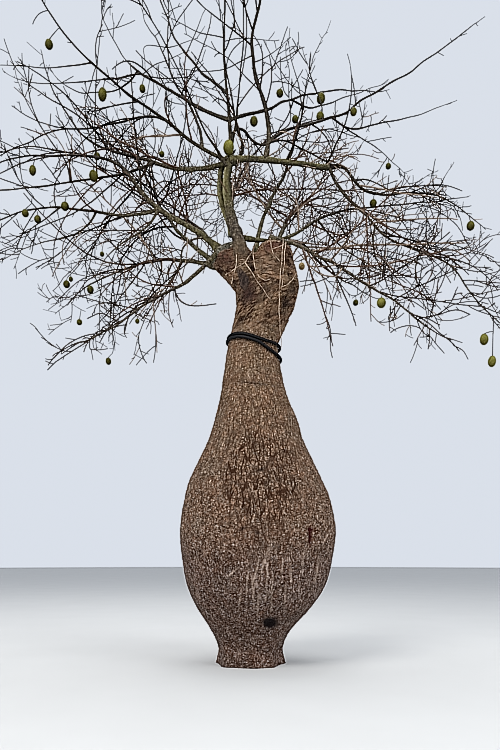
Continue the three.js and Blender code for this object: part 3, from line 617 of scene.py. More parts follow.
def bough_look():
    k = Look("bough_bark", 0.78, 0.22)
    along = k.stretch(1.0, 1.0, 0.7)
    brown = k.mix(k.span(k.noise(16.0), 0.3, 0.7), (0.022, 0.015, 0.010), (0.072, 0.052, 0.034))
    green = k.mix(k.span(k.noise(13.0), 0.3, 0.7), (0.040, 0.034, 0.012), (0.118, 0.101, 0.034))
    col = k.mix(k.attr("green"), brown, green)
    fresh = k.span(k.attr("green"), 0.6, 1.0)
    # painted light on the fresh green wood: a painted highlight on its lit side, and painted shade on the side away
    # from the light
    col = k.mix(k.times(fresh, k.attr("bright")), col, (0.270, 0.240, 0.110))
    col = k.mix(k.times(fresh, k.attr("shaded")), col, (0.016, 0.014, 0.007))
    col = k.mix(k.times(k.span(k.noise(48.0, 2.0, 0.5, along), 0.55, 0.68, 0.0, 0.55), k.less(fresh, 0.7)), col, (0.250, 0.200, 0.138))
    spots = k.span(k.edges(36.0, along, "F1"), 0.12, 0.28, 0.95, 0.0)
    col = k.mix(k.times(spots, k.span(k.noise(9.0), 0.38, 0.55), k.less(fresh, 0.75)), col, (0.014, 0.009, 0.006))
    col = k.mix(k.times(k.span(k.noise(30.0, 3.0), 0.52, 0.64, 0.0, 0.85), k.less(fresh, 0.45)), col, (0.016, 0.010, 0.006))
    col = k.mix(k.math("MULTIPLY", k.attr("thin"), 0.92), col, k.mix(k.span(k.noise(22.0, 2.0), 0.3, 0.7), (0.008, 0.006, 0.004), (0.028, 0.020, 0.014)))
    rooted = k.mix(k.span(k.noise(60.0, 3.0, 0.7, along), 0.32, 0.66), (0.055, 0.032, 0.019), (0.215, 0.135, 0.080))
    rooted = k.mix(k.span(k.noise(12.0, 3.0), 0.48, 0.62, 0.0, 0.8), rooted, (0.050, 0.030, 0.020))
    # the lowest part of the middle bough's foot, where it meets the fork, is darker
    rooted = k.mix(k.times(k.attr("foot_darkening"), 0.9), rooted, k.mix(k.span(k.noise(22.0, 3.0), 0.4, 0.6), (0.012, 0.007, 0.008), (0.070, 0.042, 0.032)))
    k.colour(k.mix(k.attr("rooted"), col, rooted))
    k.bump(k.math("ADD", k.noise(110.0, 3.0), k.math("MULTIPLY", k.noise(28.0, 2.0), 1.5)), 0.9, 0.007)
    return k.mat


def twig_look(name, dark, light):
    k = Look(name, 0.82, 0.2)
    k.colour(k.mix(k.span(k.noise(14.0, 2.0), 0.35, 0.65), dark, light))
    k.bump(k.noise(160.0, 2.0), 0.4, 0.001)
    return k.mat


def pod_look(name, deep, bright):
    k = Look(name, 0.62, 0.10)
    col = k.mix(k.span(k.noise(14.0, 2.0), 0.35, 0.65, 0.25, 0.85), deep, bright)
    down = k.attr("down")          # 0 at the stalk, 1 at the far end
    # painted shade: the lower, far end of each pod is darkened, as the light comes from above
    col = k.mix(k.span(down, 0.30, 0.95, 0.0, 0.85), col, k.mix(1.0, col, (0.42, 0.38, 0.40), "MULTIPLY"))
    col = k.mix(k.span(down, 0.0, 0.16, 0.80, 0.0), col, (0.030, 0.024, 0.010))
    k.colour(col)
    k.bump(k.noise(120.0, 2.0), 0.12, 0.001)
    return k.mat


def hose_look():
    k = Look("hose_rubber", 0.60, 0.14)
    k.colour(k.mix(k.noise(60.0, 3.0), (0.003, 0.003, 0.004), (0.008, 0.008, 0.010)))
    k.bump(k.noise(240.0, 2.0), 0.2, 0.0008)
    return k.mat


BARK = bark_look("bark")
BOUGH = bough_look()
TWIGS = {
    "left": twig_look("twig_left", (0.012, 0.009, 0.007), (0.045, 0.032, 0.023)),
    "upper_left": twig_look("twig_upper_left", (0.009, 0.007, 0.005), (0.024, 0.017, 0.012)),
    "top": twig_look("twig_top", (0.009, 0.006, 0.005), (0.024, 0.017, 0.012)),
    "right": twig_look("twig_right", (0.010, 0.007, 0.006), (0.030, 0.021, 0.015)),
    "low_right": twig_look("twig_low_right", (0.014, 0.010, 0.008), (0.060, 0.040, 0.029)),
    "back": twig_look("twig_back", (0.016, 0.011, 0.009), (0.070, 0.045, 0.033)),
    "front": twig_look("twig_front", (0.014, 0.010, 0.008), (0.060, 0.042, 0.030)),
}
BROWN_TWIG = twig_look("twig_brown", (0.040, 0.020, 0.013), (0.120, 0.066, 0.042))
TAN_TWIG = twig_look("twig_tan", (0.110, 0.070, 0.048), (0.290, 0.210, 0.150))
PALE_TWIG = twig_look("twig_pale", (0.170, 0.105, 0.070), (0.400, 0.300, 0.215))
POD = pod_look("pod", (0.050, 0.045, 0.006), (0.108, 0.098, 0.010))
BRIGHT_POD = pod_look("pod_bright", (0.112, 0.104, 0.016), (0.190, 0.178, 0.030))
RIPE_POD = pod_look("pod_ripe", (0.220, 0.130, 0.040), (0.500, 0.380, 0.180))
HOSE = hose_look()


# ------------------------------------------------------------------ trunk
COLUMNS = 416


def trunk_at(z):
    """radius and lean at heights, smooth through the stations"""
    last = len(TRUNK) - 1
    i = np.clip(np.searchsorted(TRUNK[:, 0], z, side="right") - 1, 0, last - 1)
    span = TRUNK[i + 1, 0] - TRUNK[i, 0]
    t = (z - TRUNK[i, 0]) / span
    out = []
    for c in (1, 2):
        def slope(j):
            a, b = np.maximum(j - 1, 0), np.minimum(j + 1, last)
            return (TRUNK[b, c] - TRUNK[a, c]) / (TRUNK[b, 0] - TRUNK[a, 0])
        m0, m1 = slope(i) * span, slope(i + 1) * span
        t2, t3 = t * t, t * t * t
        out.append((2 * t3 - 3 * t2 + 1) * TRUNK[i, c] + (t3 - 2 * t2 + t) * m0
                   + (-2 * t3 + 3 * t2) * TRUNK[i + 1, c] + (t3 - t2) * m1)
    return out


# heights of the middles of the two strands of the hose, from side to side of the neck
STRAND_X = [-0.33, -0.277, -0.136, 0.0, 0.134, 0.245, 0.35, 0.42]
UPPER_STRAND = [4.575, 4.580, 4.557, 4.519, 4.475, 4.453, 4.449, 4.447]
LOWER_STRAND = [4.530, 4.533, 4.511, 4.472, 4.425, 4.357, 4.305, 4.280]


def seam_height(x):
    """the two trunk meshes meet under the upper strand of the hose"""
    return np.interp(x, STRAND_X, UPPER_STRAND)


def spot(px, py, x, y, sx, sy, turn=0.0):
    """a soft spot at a picture position, wide sx and sy pixels, turned by degrees"""
    a = math.radians(turn)
    u = (px - x) * math.cos(a) + (py - y) * math.sin(a)
    v = -(px - x) * math.sin(a) + (py - y) * math.cos(a)
    return np.exp(-(u / sx) ** 2 - (v / sy) ** 2)


def bark_relief(p, out):
    """moves the points p of a smooth trunk along out, and gives the attributes of the bark"""
    px, py = seen(p)
    front = step(0.10, -0.10, p[:, 1])
    z = p[:, 2]
    zone = step(1.6, 4.2, z)
    warp = np.stack([rough(p, 0.20, 31 + k, 2) for k in range(3)], 1)
    neck = step(4.52, 4.75, z)
    f1, f2, own = cells((p + warp * np.array([0.035, 0.035, 0.08])) / np.array([0.058, 0.058, 0.112]), 3)
    plate = step(0.02, 0.34, f2 - f1)
    # upright ridges: noise drawn out along the trunk
    rise = p * np.array([1.0, 1.0, 0.20]) + warp * 0.02
    ridge = np.abs(noise(rise, 0.085, 41)) + 0.6 * np.abs(noise(rise, 0.045, 43))
    gully = step(0.22, 0.0, ridge)
    # bark is roughest round the middle of the belly's upper half, finest low down
    strong = 0.45 + 0.40 * step(1.3, 2.4, z) - 0.25 * step(3.3, 4.2, z)
    strong = strong + 0.8 * front * spot(px, py, 262, 480, 36, 44) + 0.45 * (1 - front) * np.clip(noise(p, 0.7, 77), 0, 1)
    strong = strong * (1 - neck)
    move = strong * (0.006 * (own - 0.5) + 0.010 * (plate - 0.75) - 0.004 * gully)
    move = move + 0.012 * rough(p, 0.45, 5, 2) * step(0.0, 0.6, z) + 0.003 * rough(p, 0.035, 9, 2)
    # wrinkles and knobs on the neck, and folds under the two limbs
    along = (z - 0.42 * p[:, 0]) + 0.09 * rough(p, 0.25, 21, 2)
    wave = np.abs(noise(np.stack([p[:, 0] * 0.5, p[:, 1] * 0.5, along], 1), 0.060, 23))
    wave2 = np.abs(noise(np.stack([p[:, 0] * 0.6 + 3, p[:, 1] * 0.6, along], 1), 0.032, 24))
    crease = step(0.24, 0.0, wave) + 0.5 * step(0.26, 0.0, wave2)
    move = move + neck * (0.024 * rough(p, 0.20, 27, 3) - 0.013 * crease)
    # root flare runs into low ridges
    a = np.arctan2(p[:, 1], p[:, 0])
    foot = step(0.55, 0.0, z)
    swell = 0.022 * np.sin(5 * a + 0.6) + 0.012 * np.sin(8 * a + 2.0) + 0.006 * np.sin(13 * a + 1.0)
    move = move + foot * (swell - 0.010)
    # the crack mark darkens cell edges, gullies and the neck's creases: partly the bark's own colour, partly painted
    # shade
    crack = strong * (step(0.16, 0.02, f2 - f1) * 0.06 + 0.03 * gully) + 0.40 * neck * crease
    dark = 0.40 * neck * step(0.10, 0.55, rough(p, 0.22, 29, 3))
    pale = np.clip(own - 0.78, 0, 1) * 1.2
    # single marks on the side that is seen; the deep hole low on the belly at (270.5, 623) is painted near-black inside
    # as painted shade
    for x, y, sx, sy, turn, depth, k in [
            (242, 529, 3.5, 1.6, -20, 0.024, 0.8), (270.5, 623, 6.0, 4.2, 0, 0.085, 2.6),
            (253, 383, 13, 1.0, 4, 0.014, 0.9), (258, 533, 3, 1.2, 20, 0.010, 0.6),
            (245, 285, 6, 9, 10, 0.022, 0.62), (288, 303, 8, 6, -20, 0.018, 0.60), (262, 292, 2, 12, 25, 0.014, 0.6),
            (292, 291, 4, 3, 0, 0.012, 0.7), (281, 313, 10, 3, -12, 0.012, 0.6), (225, 262, 7, 5, 20, 0.012, 0.5),
            (243, 318, 9, 2.2, -35, 0.020, 0.6), (262, 300, 10, 1.8, -30, 0.016, 0.5),
            (268, 327, 14, 1.4, 30, 0.016, 0.5), 
            (262, 469, 5, 1.6, -25, 0.016, 0.8),
             (279, 262, 9, 5, 0, 0.016, 0.5),
            (226, 262, 8, 7, 30, 0.020, 0.55), (252, 268, 2.5, 14, -8, 0.030, 0.75),
             (274, 243, 15, 4, 0, 0.006, 0.55), (247, 293, 9, 13, 8, 0.004, 0.95)]:
        m = front * spot(px, py, x, y, sx, sy, turn)
        move = move - depth * m
        dark = np.maximum(dark, np.minimum(k * m, 1.0))
    wound = front * np.clip(1.6 * (spot(px, py, 310.3, 536, 1.3, 8.0) + spot(px, py, 310.8, 529.5, 2.8, 1.7)), 0, 1)
    move = move - 0.022 * wound
    # raised ridges low on the right half of the belly, pale along them as a painted highlight
    streak = np.zeros(len(p))
    for x, y, length, turn in [
            (256, 572, 16, 14), (263, 566, 12, 16), (253, 590, 18, -4), (267, 575, 14, 2), (282, 568, 10, 8),
            (232, 573, 8, 48), (291, 575, 12, -2), (316, 573, 14, 10), (303, 560, 8, 6), (247, 585, 14, 4),
            (326, 537, 9, 32), (272, 590, 16, 2), (240, 600, 12, 8), (285, 598, 10, 4), (258, 604, 14, 2)]:
        streak = np.maximum(streak, front * spot(px, py, x, y, 0.9, length, turn))
    back = (1 - front) * step(1.9, 1.2, z) * np.clip(noise(p / np.array([1, 1, 6]), 0.045, 61) - 0.35, 0, 1) * 1.5
    streak = np.maximum(streak, np.clip(back, 0, 0.8))
    move = move + 0.009 * streak
    pale = np.clip(0.4 * pale + 0.50 * streak, 0, 0.90)
    streaky = front * spot(px, py, 288, 580, 46, 32) + (1 - front) * step(0.5, 0.9, z) * step(1.9, 1.3, z) * step(0.1, 0.5, noise(p, 0.9, 63))
    crack = np.clip(crack * (1 - 0.7 * streak), 0, 0.92)
    rugged = 1.15 * front * spot(px, py, 261, 478, 40, 50)
    rugged = rugged + (1 - front) * step(0.1, 0.6, noise(p, 0.8, 77)) * step(1.2, 2.0, z) * step(4.2, 3.4, z)
    # distance round the trunk; the furrows fade out at the back, where it starts again
    wide, middle_x = trunk_at(np.clip(z, 0.0, 5.4))
    a = np.arctan2(p[:, 0] - middle_x, -p[:, 1])
    around = a * (0.45 + 0.55 * wide)
    joint = step(3.05, 2.80, np.abs(a))
    lined = front * np.maximum(spot(px, py, 260, 462, 42, 84), 0.45 * spot(px, py, 262, 380, 60, 50))
    lined = lined + (1 - front) * step(-0.3, 0.3, noise(p, 0.9, 79)) * step(1.4, 2.4, z)
    red = front * spot(px, py, 223, 257, 11, 6, -12) * (0.30 + 0.45 * step(-0.2, 0.5, noise(p, 0.07, 35))) + front * spot(px, py, 272, 246, 20, 6, -6) * 0.75 + 0.25 * neck * step(0.15, 0.5, noise(p, 0.3, 33))
    return p + out * move[:, None], {
        "crack": crack, "dark": dark, "pale": pale * (1 - crack), "wound": wound, "zone": zone,
        "neck": neck, "rugged": np.clip(rugged, 0, 1), "lined": np.clip(lined, 0, 1), "around": around, "joint": joint, "streaky": np.clip(streaky, 0, 0.9), "red": np.clip(red, 0, 0.8)}


def grid_tris(rows, cols):
    j = np.arange(cols)
    k = np.arange(rows - 1)[:, None] * cols
    p0, p1 = k + j, k + (j + 1) % cols
    p2, p3 = p1 + cols, p0 + cols
    return np.concatenate([np.stack([p0, p1, p2], -1), np.stack([p0, p2, p3], -1)]).reshape(-1, 3)


def closing(ring, centre, flip):
    nxt = np.roll(ring, -1)
    t = np.stack([np.full(len(ring), centre), ring, nxt], 1)
    return t[:, ::-1] if flip else t


turn = np.arange(COLUMNS) * 2 * np.pi / COLUMNS
heights = np.concatenate([np.arange(0, 0.30, 0.015), np.arange(0.30, 4.5, 0.0192), [4.5]])
grid_z = np.repeat(heights[:, None], COLUMNS, 1)
radius, lean = trunk_at(heights)
x0 = lean[:, None] + radius[:, None] * np.cos(turn)
grid_z = grid_z + step(4.1, 4.5, grid_z) * (seam_height(x0) - 4.5)
radius, lean = trunk_at(grid_z.ravel())
ct, st = np.tile(np.cos(turn), len(heights)), np.tile(np.sin(turn), len(heights))
smooth_p = np.stack([lean + radius * ct, radius * st, grid_z.ravel()], 1)
outward = np.stack([ct, st, np.zeros_like(ct)], 1)
verts, attrs = bark_relief(smooth_p, outward)
verts[:, 2] = np.maximum(verts[:, 2], 0.0)
n = len(verts)
tris = np.concatenate([
    grid_tris(len(heights), COLUMNS),
    closing(np.arange(COLUMNS), n, True), closing(np.arange(n - COLUMNS, n), n + 1, False)])
verts = np.vstack([verts, [0, 0, 0], [0.05, 0, 4.52]])
attrs = {key: np.append(v, [0, 0]) for key, v in attrs.items()}
attrs["cut"] = np.zeros(len(verts))
bark_trunk = make("bark_trunk", verts, tris, BARK, attrs)
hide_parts("trunk")


def smax(a, b, k):
    h = np.clip(0.5 + 0.5 * (a - b) / k, 0, 1)
    return b * (1 - h) + a * h + k * h * (1 - h)


def fork_section(z):
    """the outline of the fork at a height for each column"""
    left, right, deep, a, b = (np.interp(z, FORK[:, 0], FORK[:, c]) for c in range(1, 6))
    mid = (left + right) / 2
    c, s = np.cos(turn), np.sin(turn)

    def reach(r, d):
        k = r * r - (d * s) ** 2
        return np.where(k > 0, d * c + np.sqrt(np.maximum(k, 0)), 0.0)
    web = np.interp(z, [4.5, 4.9, 5.2, 5.45, 5.62, 5.78, 5.95], [0.28, 0.34, 0.42, 0.36, 0.26, 0.13, 0.07])
    rho = smax(smax(reach(a, left + a - mid), reach(b, right - b - mid), 0.05), web, 0.05)
    rho = rho - 0.016 * step(5.35, 5.05, z)
    return np.stack([mid + rho * c, rho * s * deep / ((a + b) / 2)], -1), np.stack([mid, 0 * mid], -1)


def top_height(x, y):
    """height of the cut tops of the two limbs, with the crotch between them"""
    h = 5.885 + 0.02 * np.sin(3 * x) + 0.32 * np.minimum(x + 0.22, 0)
    h = h - 0.120 * np.exp(-((x - 0.045) / 0.070) ** 2)
    h = h + 0.25 * np.minimum(x - 0.25, 0) * (x > 0.045) - 0.035 * step(0.0, 0.12, x)
    p = np.stack([x, y, 0 * x], -1).reshape(-1, 3)
    return h + (0.014 * rough(p, 0.10, 51, 3)).reshape(np.shape(x))


rim, _ = fork_section(np.full(COLUMNS, 5.84))
rim_z = top_height(rim[:, 0], rim[:, 1]) - 0.050
seam_p = smooth_p[-COLUMNS:]
seam_z = seam_p[:, 2]
ROWS = 112
rows = []
for k in range(ROWS):
    z = seam_z + (rim_z - seam_z) * k / (ROWS - 1)
    xy, _ = fork_section(z)
    if k == 0:
        xy = seam_p[:, :2]
    elif k < 10:
        r1, l1 = trunk_at(z)
        plain = np.stack([l1 + r1 * np.cos(turn), r1 * np.sin(turn)], 1)
        xy = plain + (xy - plain) * step(0, 10, k)
    rows.append(np.column_stack([xy, z]))
side_p = np.concatenate(rows)
middle = fork_section(np.full(COLUMNS, 5.84))[1]
outs = []
for r in rows:
    tangent = np.roll(r, -1, 0) - np.roll(r, 1, 0)
    o = np.stack([tangent[:, 1], -tangent[:, 0], np.zeros(COLUMNS)], 1)
    outs.append(unit(o))
verts, attrs = bark_relief(side_p, np.concatenate(outs))
# the foot of the middle bough stands out of the front of the fork
px, py = seen(verts)
front = step(0.0, -0.12, verts[:, 1])
ridge = front * np.exp(-((px - 240.5 - 0.16 * (py - 245)) / 6.5) ** 2) * step(292, 262, py)
verts = verts + np.concatenate(outs) * (0.075 * ridge)[:, None]
# the left limb's rim is cut away on a slope, and shows grey wood
below = np.tile(rim_z, ROWS) - verts[:, 2]
cut = step(0.062, 0.048, below) * step(-0.17, -0.24, verts[:, 0]) * step(0.1, -0.05, verts[:, 1])
verts = verts - np.concatenate(outs) * (0.016 * cut)[:, None]
cut = 0.9 * cut
fractions = [0.03, 0.06, 0.10, 0.15, 0.21, 0.28, 0.36, 0.45, 0.55, 0.66, 0.78, 0.90]
last = verts[-COLUMNS:]
caps, cap_cut = [], []
for f in fractions:
    xy = middle + (last[:, :2] - middle) * (1 - f)
    inset = f * np.linalg.norm(last[:, :2] - middle, axis=1)
    z = top_height(xy[:, 0], xy[:, 1]) - 0.050 * np.exp(-inset / 0.030)
    z = last[:, 2] + (z - last[:, 2]) * step(0.0, 0.10, f)
    caps.append(np.column_stack([xy, z]))
    cap_cut.append(0.9 * step(0.0, 0.05, f) * step(0.0, -0.12, xy[:, 0]))
n_side = len(verts)
verts = np.concatenate([verts] + caps + [np.array([[middle[0, 0], 0, 5.80]]), np.array([[0.05, 0, 4.5]])])
n = len(verts) - 2
tris = np.concatenate([
    grid_tris(ROWS + len(fractions), COLUMNS),
    closing(np.arange(COLUMNS), n + 1, True), closing(np.arange(n - COLUMNS, n), n, False)])
extra = n - n_side
attrs = {key: np.concatenate([v, np.zeros(extra + 2)]) for key, v in attrs.items()}
attrs["zone"][n_side:] = 1.0
attrs["cut"] = np.concatenate([cut, np.concatenate(cap_cut), [0.0, 0.0]])
attrs["dark"][n_side:] = np.clip(0.5 * rough(verts[n_side:], 0.12, 71, 2), 0, 0.6)
bark_fork = make("bark_fork", verts, tris, BARK, attrs)
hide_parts("cut_limb_left", "cut_limb_right")


# ------------------------------------------------------------------ limbs
def heading(az, el):
    a, e = np.radians(az), np.radians(el)
    return np.array([np.cos(e) * np.sin(a), np.cos(e) * np.cos(a), np.sin(e)])


def limb_path(base, length, heads, samples=96):
    ways = np.array([heading(*h) for h in heads])
    turns = len(ways) - 1
    u = (np.arange(samples) + 0.5) / samples * turns
    i = np.minimum(u.astype(int), turns - 1)
    w = (u - i)[:, None]
    d = unit(ways[i] * (1 - w) + ways[i + 1] * w)
    return np.vstack([[0, 0, 0], np.cumsum(d * length / samples, 0)]) + base


def along(path, t):
    """points and headings at fractions t of an evenly spaced path"""
    n = len(path) - 1
    x = np.clip(np.asarray(t, float) * n, 0, n - 1e-9)
    i = x.astype(int)
    d = path[i + 1] - path[i]
    return path[i] + d * (x - i)[..., None], unit(d)


paths, radii, greens = {}, {}, {}
for name, (start, length, (r0, r1), heads, green) in {**LIMBS, **SLIM}.items():
    if isinstance(start, tuple):
        base = along(paths[start[0]], start[1])[0]
    else:
        base = np.array(start)
    path = limb_path(base, length, heads)
    t = np.linspace(0, 1, len(path))
    r = (r1 + (r0 - r1) * (1 - t) ** 1.2) / 1000.0
    if name in GIRTH:
        r = np.interp(t, *zip(*GIRTH[name])) / 1000.0
    # slim wood turns a little at each of its old buds
    run = t * np.linalg.norm(np.diff(path, axis=0), axis=1).sum()
    turns = np.stack([noise(np.stack([run, 0 * run + 5.3 * len(paths), 0 * run + k], 1), 0.30, 89) for k in range(3)], 1)
    path = path + 0.020 * turns * (step(0.040, 0.018, r) * step(0.0, 0.35, run))[:, None]
    paths[name], radii[name], greens[name] = path, r, green


def resampled(path, values, spacing):
    s = np.r_[0, np.cumsum(np.linalg.norm(np.diff(path, axis=0), axis=1))]
    n = max(4, int(round(s[-1] / spacing)) + 1)
    u = np.linspace(0, s[-1], n)
    p = np.stack([np.interp(u, s, path[:, c]) for c in range(3)], 1)
    return p, [np.interp(u, s, v) for v in values], u


def limb_mesh(name, index):
    path, r = paths[name].copy(), radii[name].copy()
    g0, g1 = greens[name]
    t = np.linspace(0, 1, len(path))
    start = {**LIMBS, **SLIM}[name][0]
    flare = 0.35 if isinstance(start, tuple) else 0.55
    s = t * np.linalg.norm(np.diff(path, axis=0), axis=1).sum()
    r = r * (1 + flare * np.exp(-s / (2.2 * r[0])))
    g = g0 + (g1 - g0) * np.clip(t / 0.45, 0, 1)
    if name == "centre":
        # its foot comes down the front of the fork
        foot = np.stack([placed(*q) for q in [(247.5, 290, -0.20), (246, 281, -0.26), (244, 271, -0.305), (242, 262, -0.340), (240, 253, -0.362),
                                              (237.5, 245, -0.356), (235, 235, -0.32), (232, 225, -0.26), (229.3, 215, -0.20)]])
        mids = [(227.8, 205), (227.2, 190), (228.0, 172)]
        deep = np.interp([EYE[2] + (MID[1] - y) * 9.15 / FOCAL for _, y in mids], path[:, 2], path[:, 1])
        keep = path[:, 2] > 7.06
        path = np.vstack([foot, [placed(x, y, d) for (x, y), d in zip(mids, deep)], path[keep]])
        r = np.r_[0.090, 0.096, 0.100, 0.100, 0.097, 0.092, 0.086, 0.079, 0.071, 0.063, 0.058, 0.057, r[keep]]
        g = np.r_[0.1, 0.1, 0.1, 0.15, 0.25, 0.15, 0.05, 0.10, 0.35, 0.75, 1.0, 1.0, g[keep]]
    elif not isinstance(start, tuple):
        d = unit(path[1] - path[0])
        path = np.vstack([path[0] - 0.12 * d, path])
        r = np.r_[r[0] * 1.1, r]
        g = np.r_[g[0], g]
    p, (r, g), s = resampled(path, [r, g], 0.028)
    wob = np.stack([noise(np.stack([s, 0 * s + index * 3.7, 0 * s + k], 1), 0.33, 91) for k in range(3)], 1)
    fine = np.stack([noise(np.stack([s, 0 * s + index * 5.1, 0 * s + k], 1), 0.11, 93) for k in range(3)], 1)
    p = p + (wob * 0.35 + fine * 0.12) * r[:, None] * step(0.0, 0.4, s)[:, None]
    knots = 1 + 0.10 * noise(np.stack([s, 0 * s + index, 0 * s], 1), 0.10, 95) + 0.06 * noise(np.stack([s, 0 * s + index, 0 * s], 1), 0.04, 97)
    r = r * knots
    r[-1] *= 0.6
    sides = 16 if r[0] > 0.06 else 12 if r[0] > 0.03 else 9 if r[0] > 0.018 else 7
    v, f, ring = tubes(p[None], r[None], sides)
    bump = 0.055 * rough(v, 0.035, 101, 2) + 0.05 * rough(v, 0.12, 103, 2)
    v = v + ring * (np.repeat(r, sides) * bump)[:, None]
    z = p[:, 2]
    thin = np.maximum(step(0.036, 0.014, r) * step(5.7, 6.8, z), 0.88 * step(7.15, 7.75, z))
    thin = thin * (1 - 0.75 * np.clip(g, 0, 1) * step(7.6, 7.0, z))
    rooted = 0.9 * step(5.85, 5.55, z) if name == "centre" else 0 * z
    # the foot of the middle bough is darker at its lowest part
    foot_darkening = step(5.52, 5.38, z) if name == "centre" else 0 * z
    marks = {key: np.repeat(values, sides) for key, values in (("green", g), ("thin", thin), ("rooted", rooted), ("foot_darkening", foot_darkening))}
    # painted light: a painted highlight on the left side of the two strands and on top of the two level limbs, and
    # painted shade on their other sides
    strand = 1.0 if name in ("centre", "companion") else 0.0
    lying = 1.0 if name in ("arch_right", "limb_left") else 0.0
    marks["bright"] = strand * 0.75 * step(0.25, 0.80, -ring[:, 0]) + lying * 0.85 * step(0.15, 0.75, ring[:, 2])
    marks["shaded"] = strand * 0.80 * step(0.10, 0.75, ring[:, 0]) + lying * 0.80 * step(0.10, 0.80, -ring[:, 2])
    return v, f, marks


for i, name in enumerate(LIMBS):
    v, f, marks = limb_mesh(name, i)
    ob = make("limb_" + name, v, f, BOUGH, marks)
    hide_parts("bough_" + name)

slim_parts, slim_marks = [], []
for i, name in enumerate(SLIM):
    v, f, marks = limb_mesh(name, 60 + i)
    slim_parts.append((v, f))
    slim_marks.append(marks)
v, f = joined(slim_parts)
ob = make("slim_limbs", v, f, BOUGH, {key: np.concatenate([m[key] for m in slim_marks]) for key in slim_marks[0]})

# ------------------------------------------------------------------ where twigs may grow
solid_v, solid_f = [], []
base = 0
for name, node in NODES.items():
    if not name.startswith(("spray_", "bough_")):
        continue
    me = node.data
    co = np.empty(len(me.vertices) * 3, np.float32)
    me.vertices.foreach_get("co", co)
    me.calc_loop_triangles()
    tri = np.empty(len(me.loop_triangles) * 3, np.int32)
    me.loop_triangles.foreach_get("vertices", tri)
    solid_v.append(co.reshape(-1, 3))
    solid_f.append(tri.reshape(-1, 3) + base)
    base += len(me.vertices)
space = BVHTree.FromPolygons(np.concatenate(solid_v).tolist(), np.concatenate(solid_f).tolist())
LOW, HIGH = np.array(cad_box[0]), np.array(cad_box[1])


def allowed(points, near):
    """true where a point is inside a spray or within the given distance of one, and inside the whole box"""
    flat = points.reshape(-1, 3)
    ok = np.zeros(len(flat), bool)
    inside = np.all((flat > LOW - 0.02) & (flat < HIGH + 0.02), axis=1)
    for k in np.nonzero(inside)[0]:
        q = Vector(flat[k])
        at, normal, _, dist = space.find_nearest(q)
        ok[k] = dist < near or (q - at).dot(normal) < 0
    return ok.reshape(points.shape[:-1])


def grow(base, way, length, n, lift, bend, kink):
    """paths from base along way: one even bend and a lift to the sky, with a small kink at each step"""
    b = len(base)
    axis = rng.normal(0, 1, (b, 3))
    axis = unit(axis - way * (axis * way).sum(1, keepdims=True)) * bend[:, None]
    pts = [base]
    d = way
    for _ in range(n):
        d = unit(d + (lift[:, None] * UP + axis) / n + rng.normal(0, 1, (b, 3)) * kink)
        pts.append(pts[-1] + d * (length / n)[:, None])
    return np.stack(pts, 1)


def open_sky(pts):
    """true for a path whose outer half lies where the view shows open sky"""
    px_, py_ = seen(pts[:, pts.shape[1] // 2:])
    out = np.zeros(px_.shape, bool)
    for x, y, rx, ry in SKY:
        out |= ((px_ - x) / rx) ** 2 + ((py_ - y) / ry) ** 2 < 1
    return out.any(1)


def kept(pts, near, least=0.35):
    """cuts each path where it leaves the crown; drops those that are left too short"""
    ok = allowed(pts[:, 1:], near)
    n = ok.shape[1]
    run = np.where(ok.all(1), n, np.argmin(ok, 1))
    keep = run >= max(1, least * n)
    pts, run = pts[keep], run[keep]
    u = np.linspace(0, 1, n + 1)[None] * run[:, None]
    i = np.minimum(u.astype(int), n - 1)
    w = (u - i)[..., None]
    rows_ = np.arange(len(pts))[:, None]
    return pts[rows_, i] * (1 - w) + pts[rows_, i + 1] * w, keep, run / n


def spawn(parents, prad, t, which, angle, roll):
    """starting points and ways of side shoots on the parents named by which, at fractions t"""
    n = parents.shape[1] - 1
    x = np.clip(t * n, 0, n - 1e-6)
    i = x.astype(int)
    w = (x - i)[:, None]
    a, b = parents[which, i], parents[which, i + 1]
    way = unit(b - a)
    flat = np.cross(way, UP)
    short = np.linalg.norm(flat, axis=1) < 0.15
    flat[short] = np.cross(way[short], [0.3, 1.0, 0.1])
    flat = unit(flat)
    up = np.cross(flat, way)
    side = np.cos(roll)[:, None] * flat + np.sin(roll)[:, None] * up
    d = np.cos(angle)[:, None] * way + np.sin(angle)[:, None] * side
    r = prad[which, i] * (1 - w[:, 0]) + prad[which, i + 1] * w[:, 0]
    return a * (1 - w) + b * w, d, r


def shoots(parents, prad, lengths, spacing, first, last_, jitter=0.35):
    """which parent and where: places along each parent about a spacing apart"""
    which, t = [], []
    for k, length in enumerate(lengths):
        m = int((last_ - first) * length / spacing + rng.random())
        if m < 1:
            continue
        u = first + (last_ - first) * (np.arange(m) + 0.5 + jitter * rng.uniform(-1, 1, m)) / m
        which += [k] * m
        t += list(u)
    return np.array(which, int), np.array(t)


def tapered(n, r0, r1):
    u = np.linspace(0, 1, n)[None]
    return r1[:, None] + (r0 - r1)[:, None] * (1 - u) ** 0.9


region = {m: side_name for side_name, members in SIDES.items() for m in members}


def side_of(name):
    while name not in region:
        name = {**LIMBS, **SLIM}[name][0][0]
    return region[name]


names = list(LIMBS) + list(SLIM)
P0 = np.stack([paths[k][::2] for k in names])
R0 = np.stack([radii[k][::2] for k in names])
L0 = np.array([{**LIMBS, **SLIM}[k][1] for k in names])
G0 = np.array([list(SIDES).index(side_of(k)) for k in names])
FULL0 = np.array([FULL.get(k, (1.0, 1.0)) for k in names])
HANG0 = np.array([k in HANGING_LIMBS for k in names])

levels = []            # (paths, radii, side index) of each level


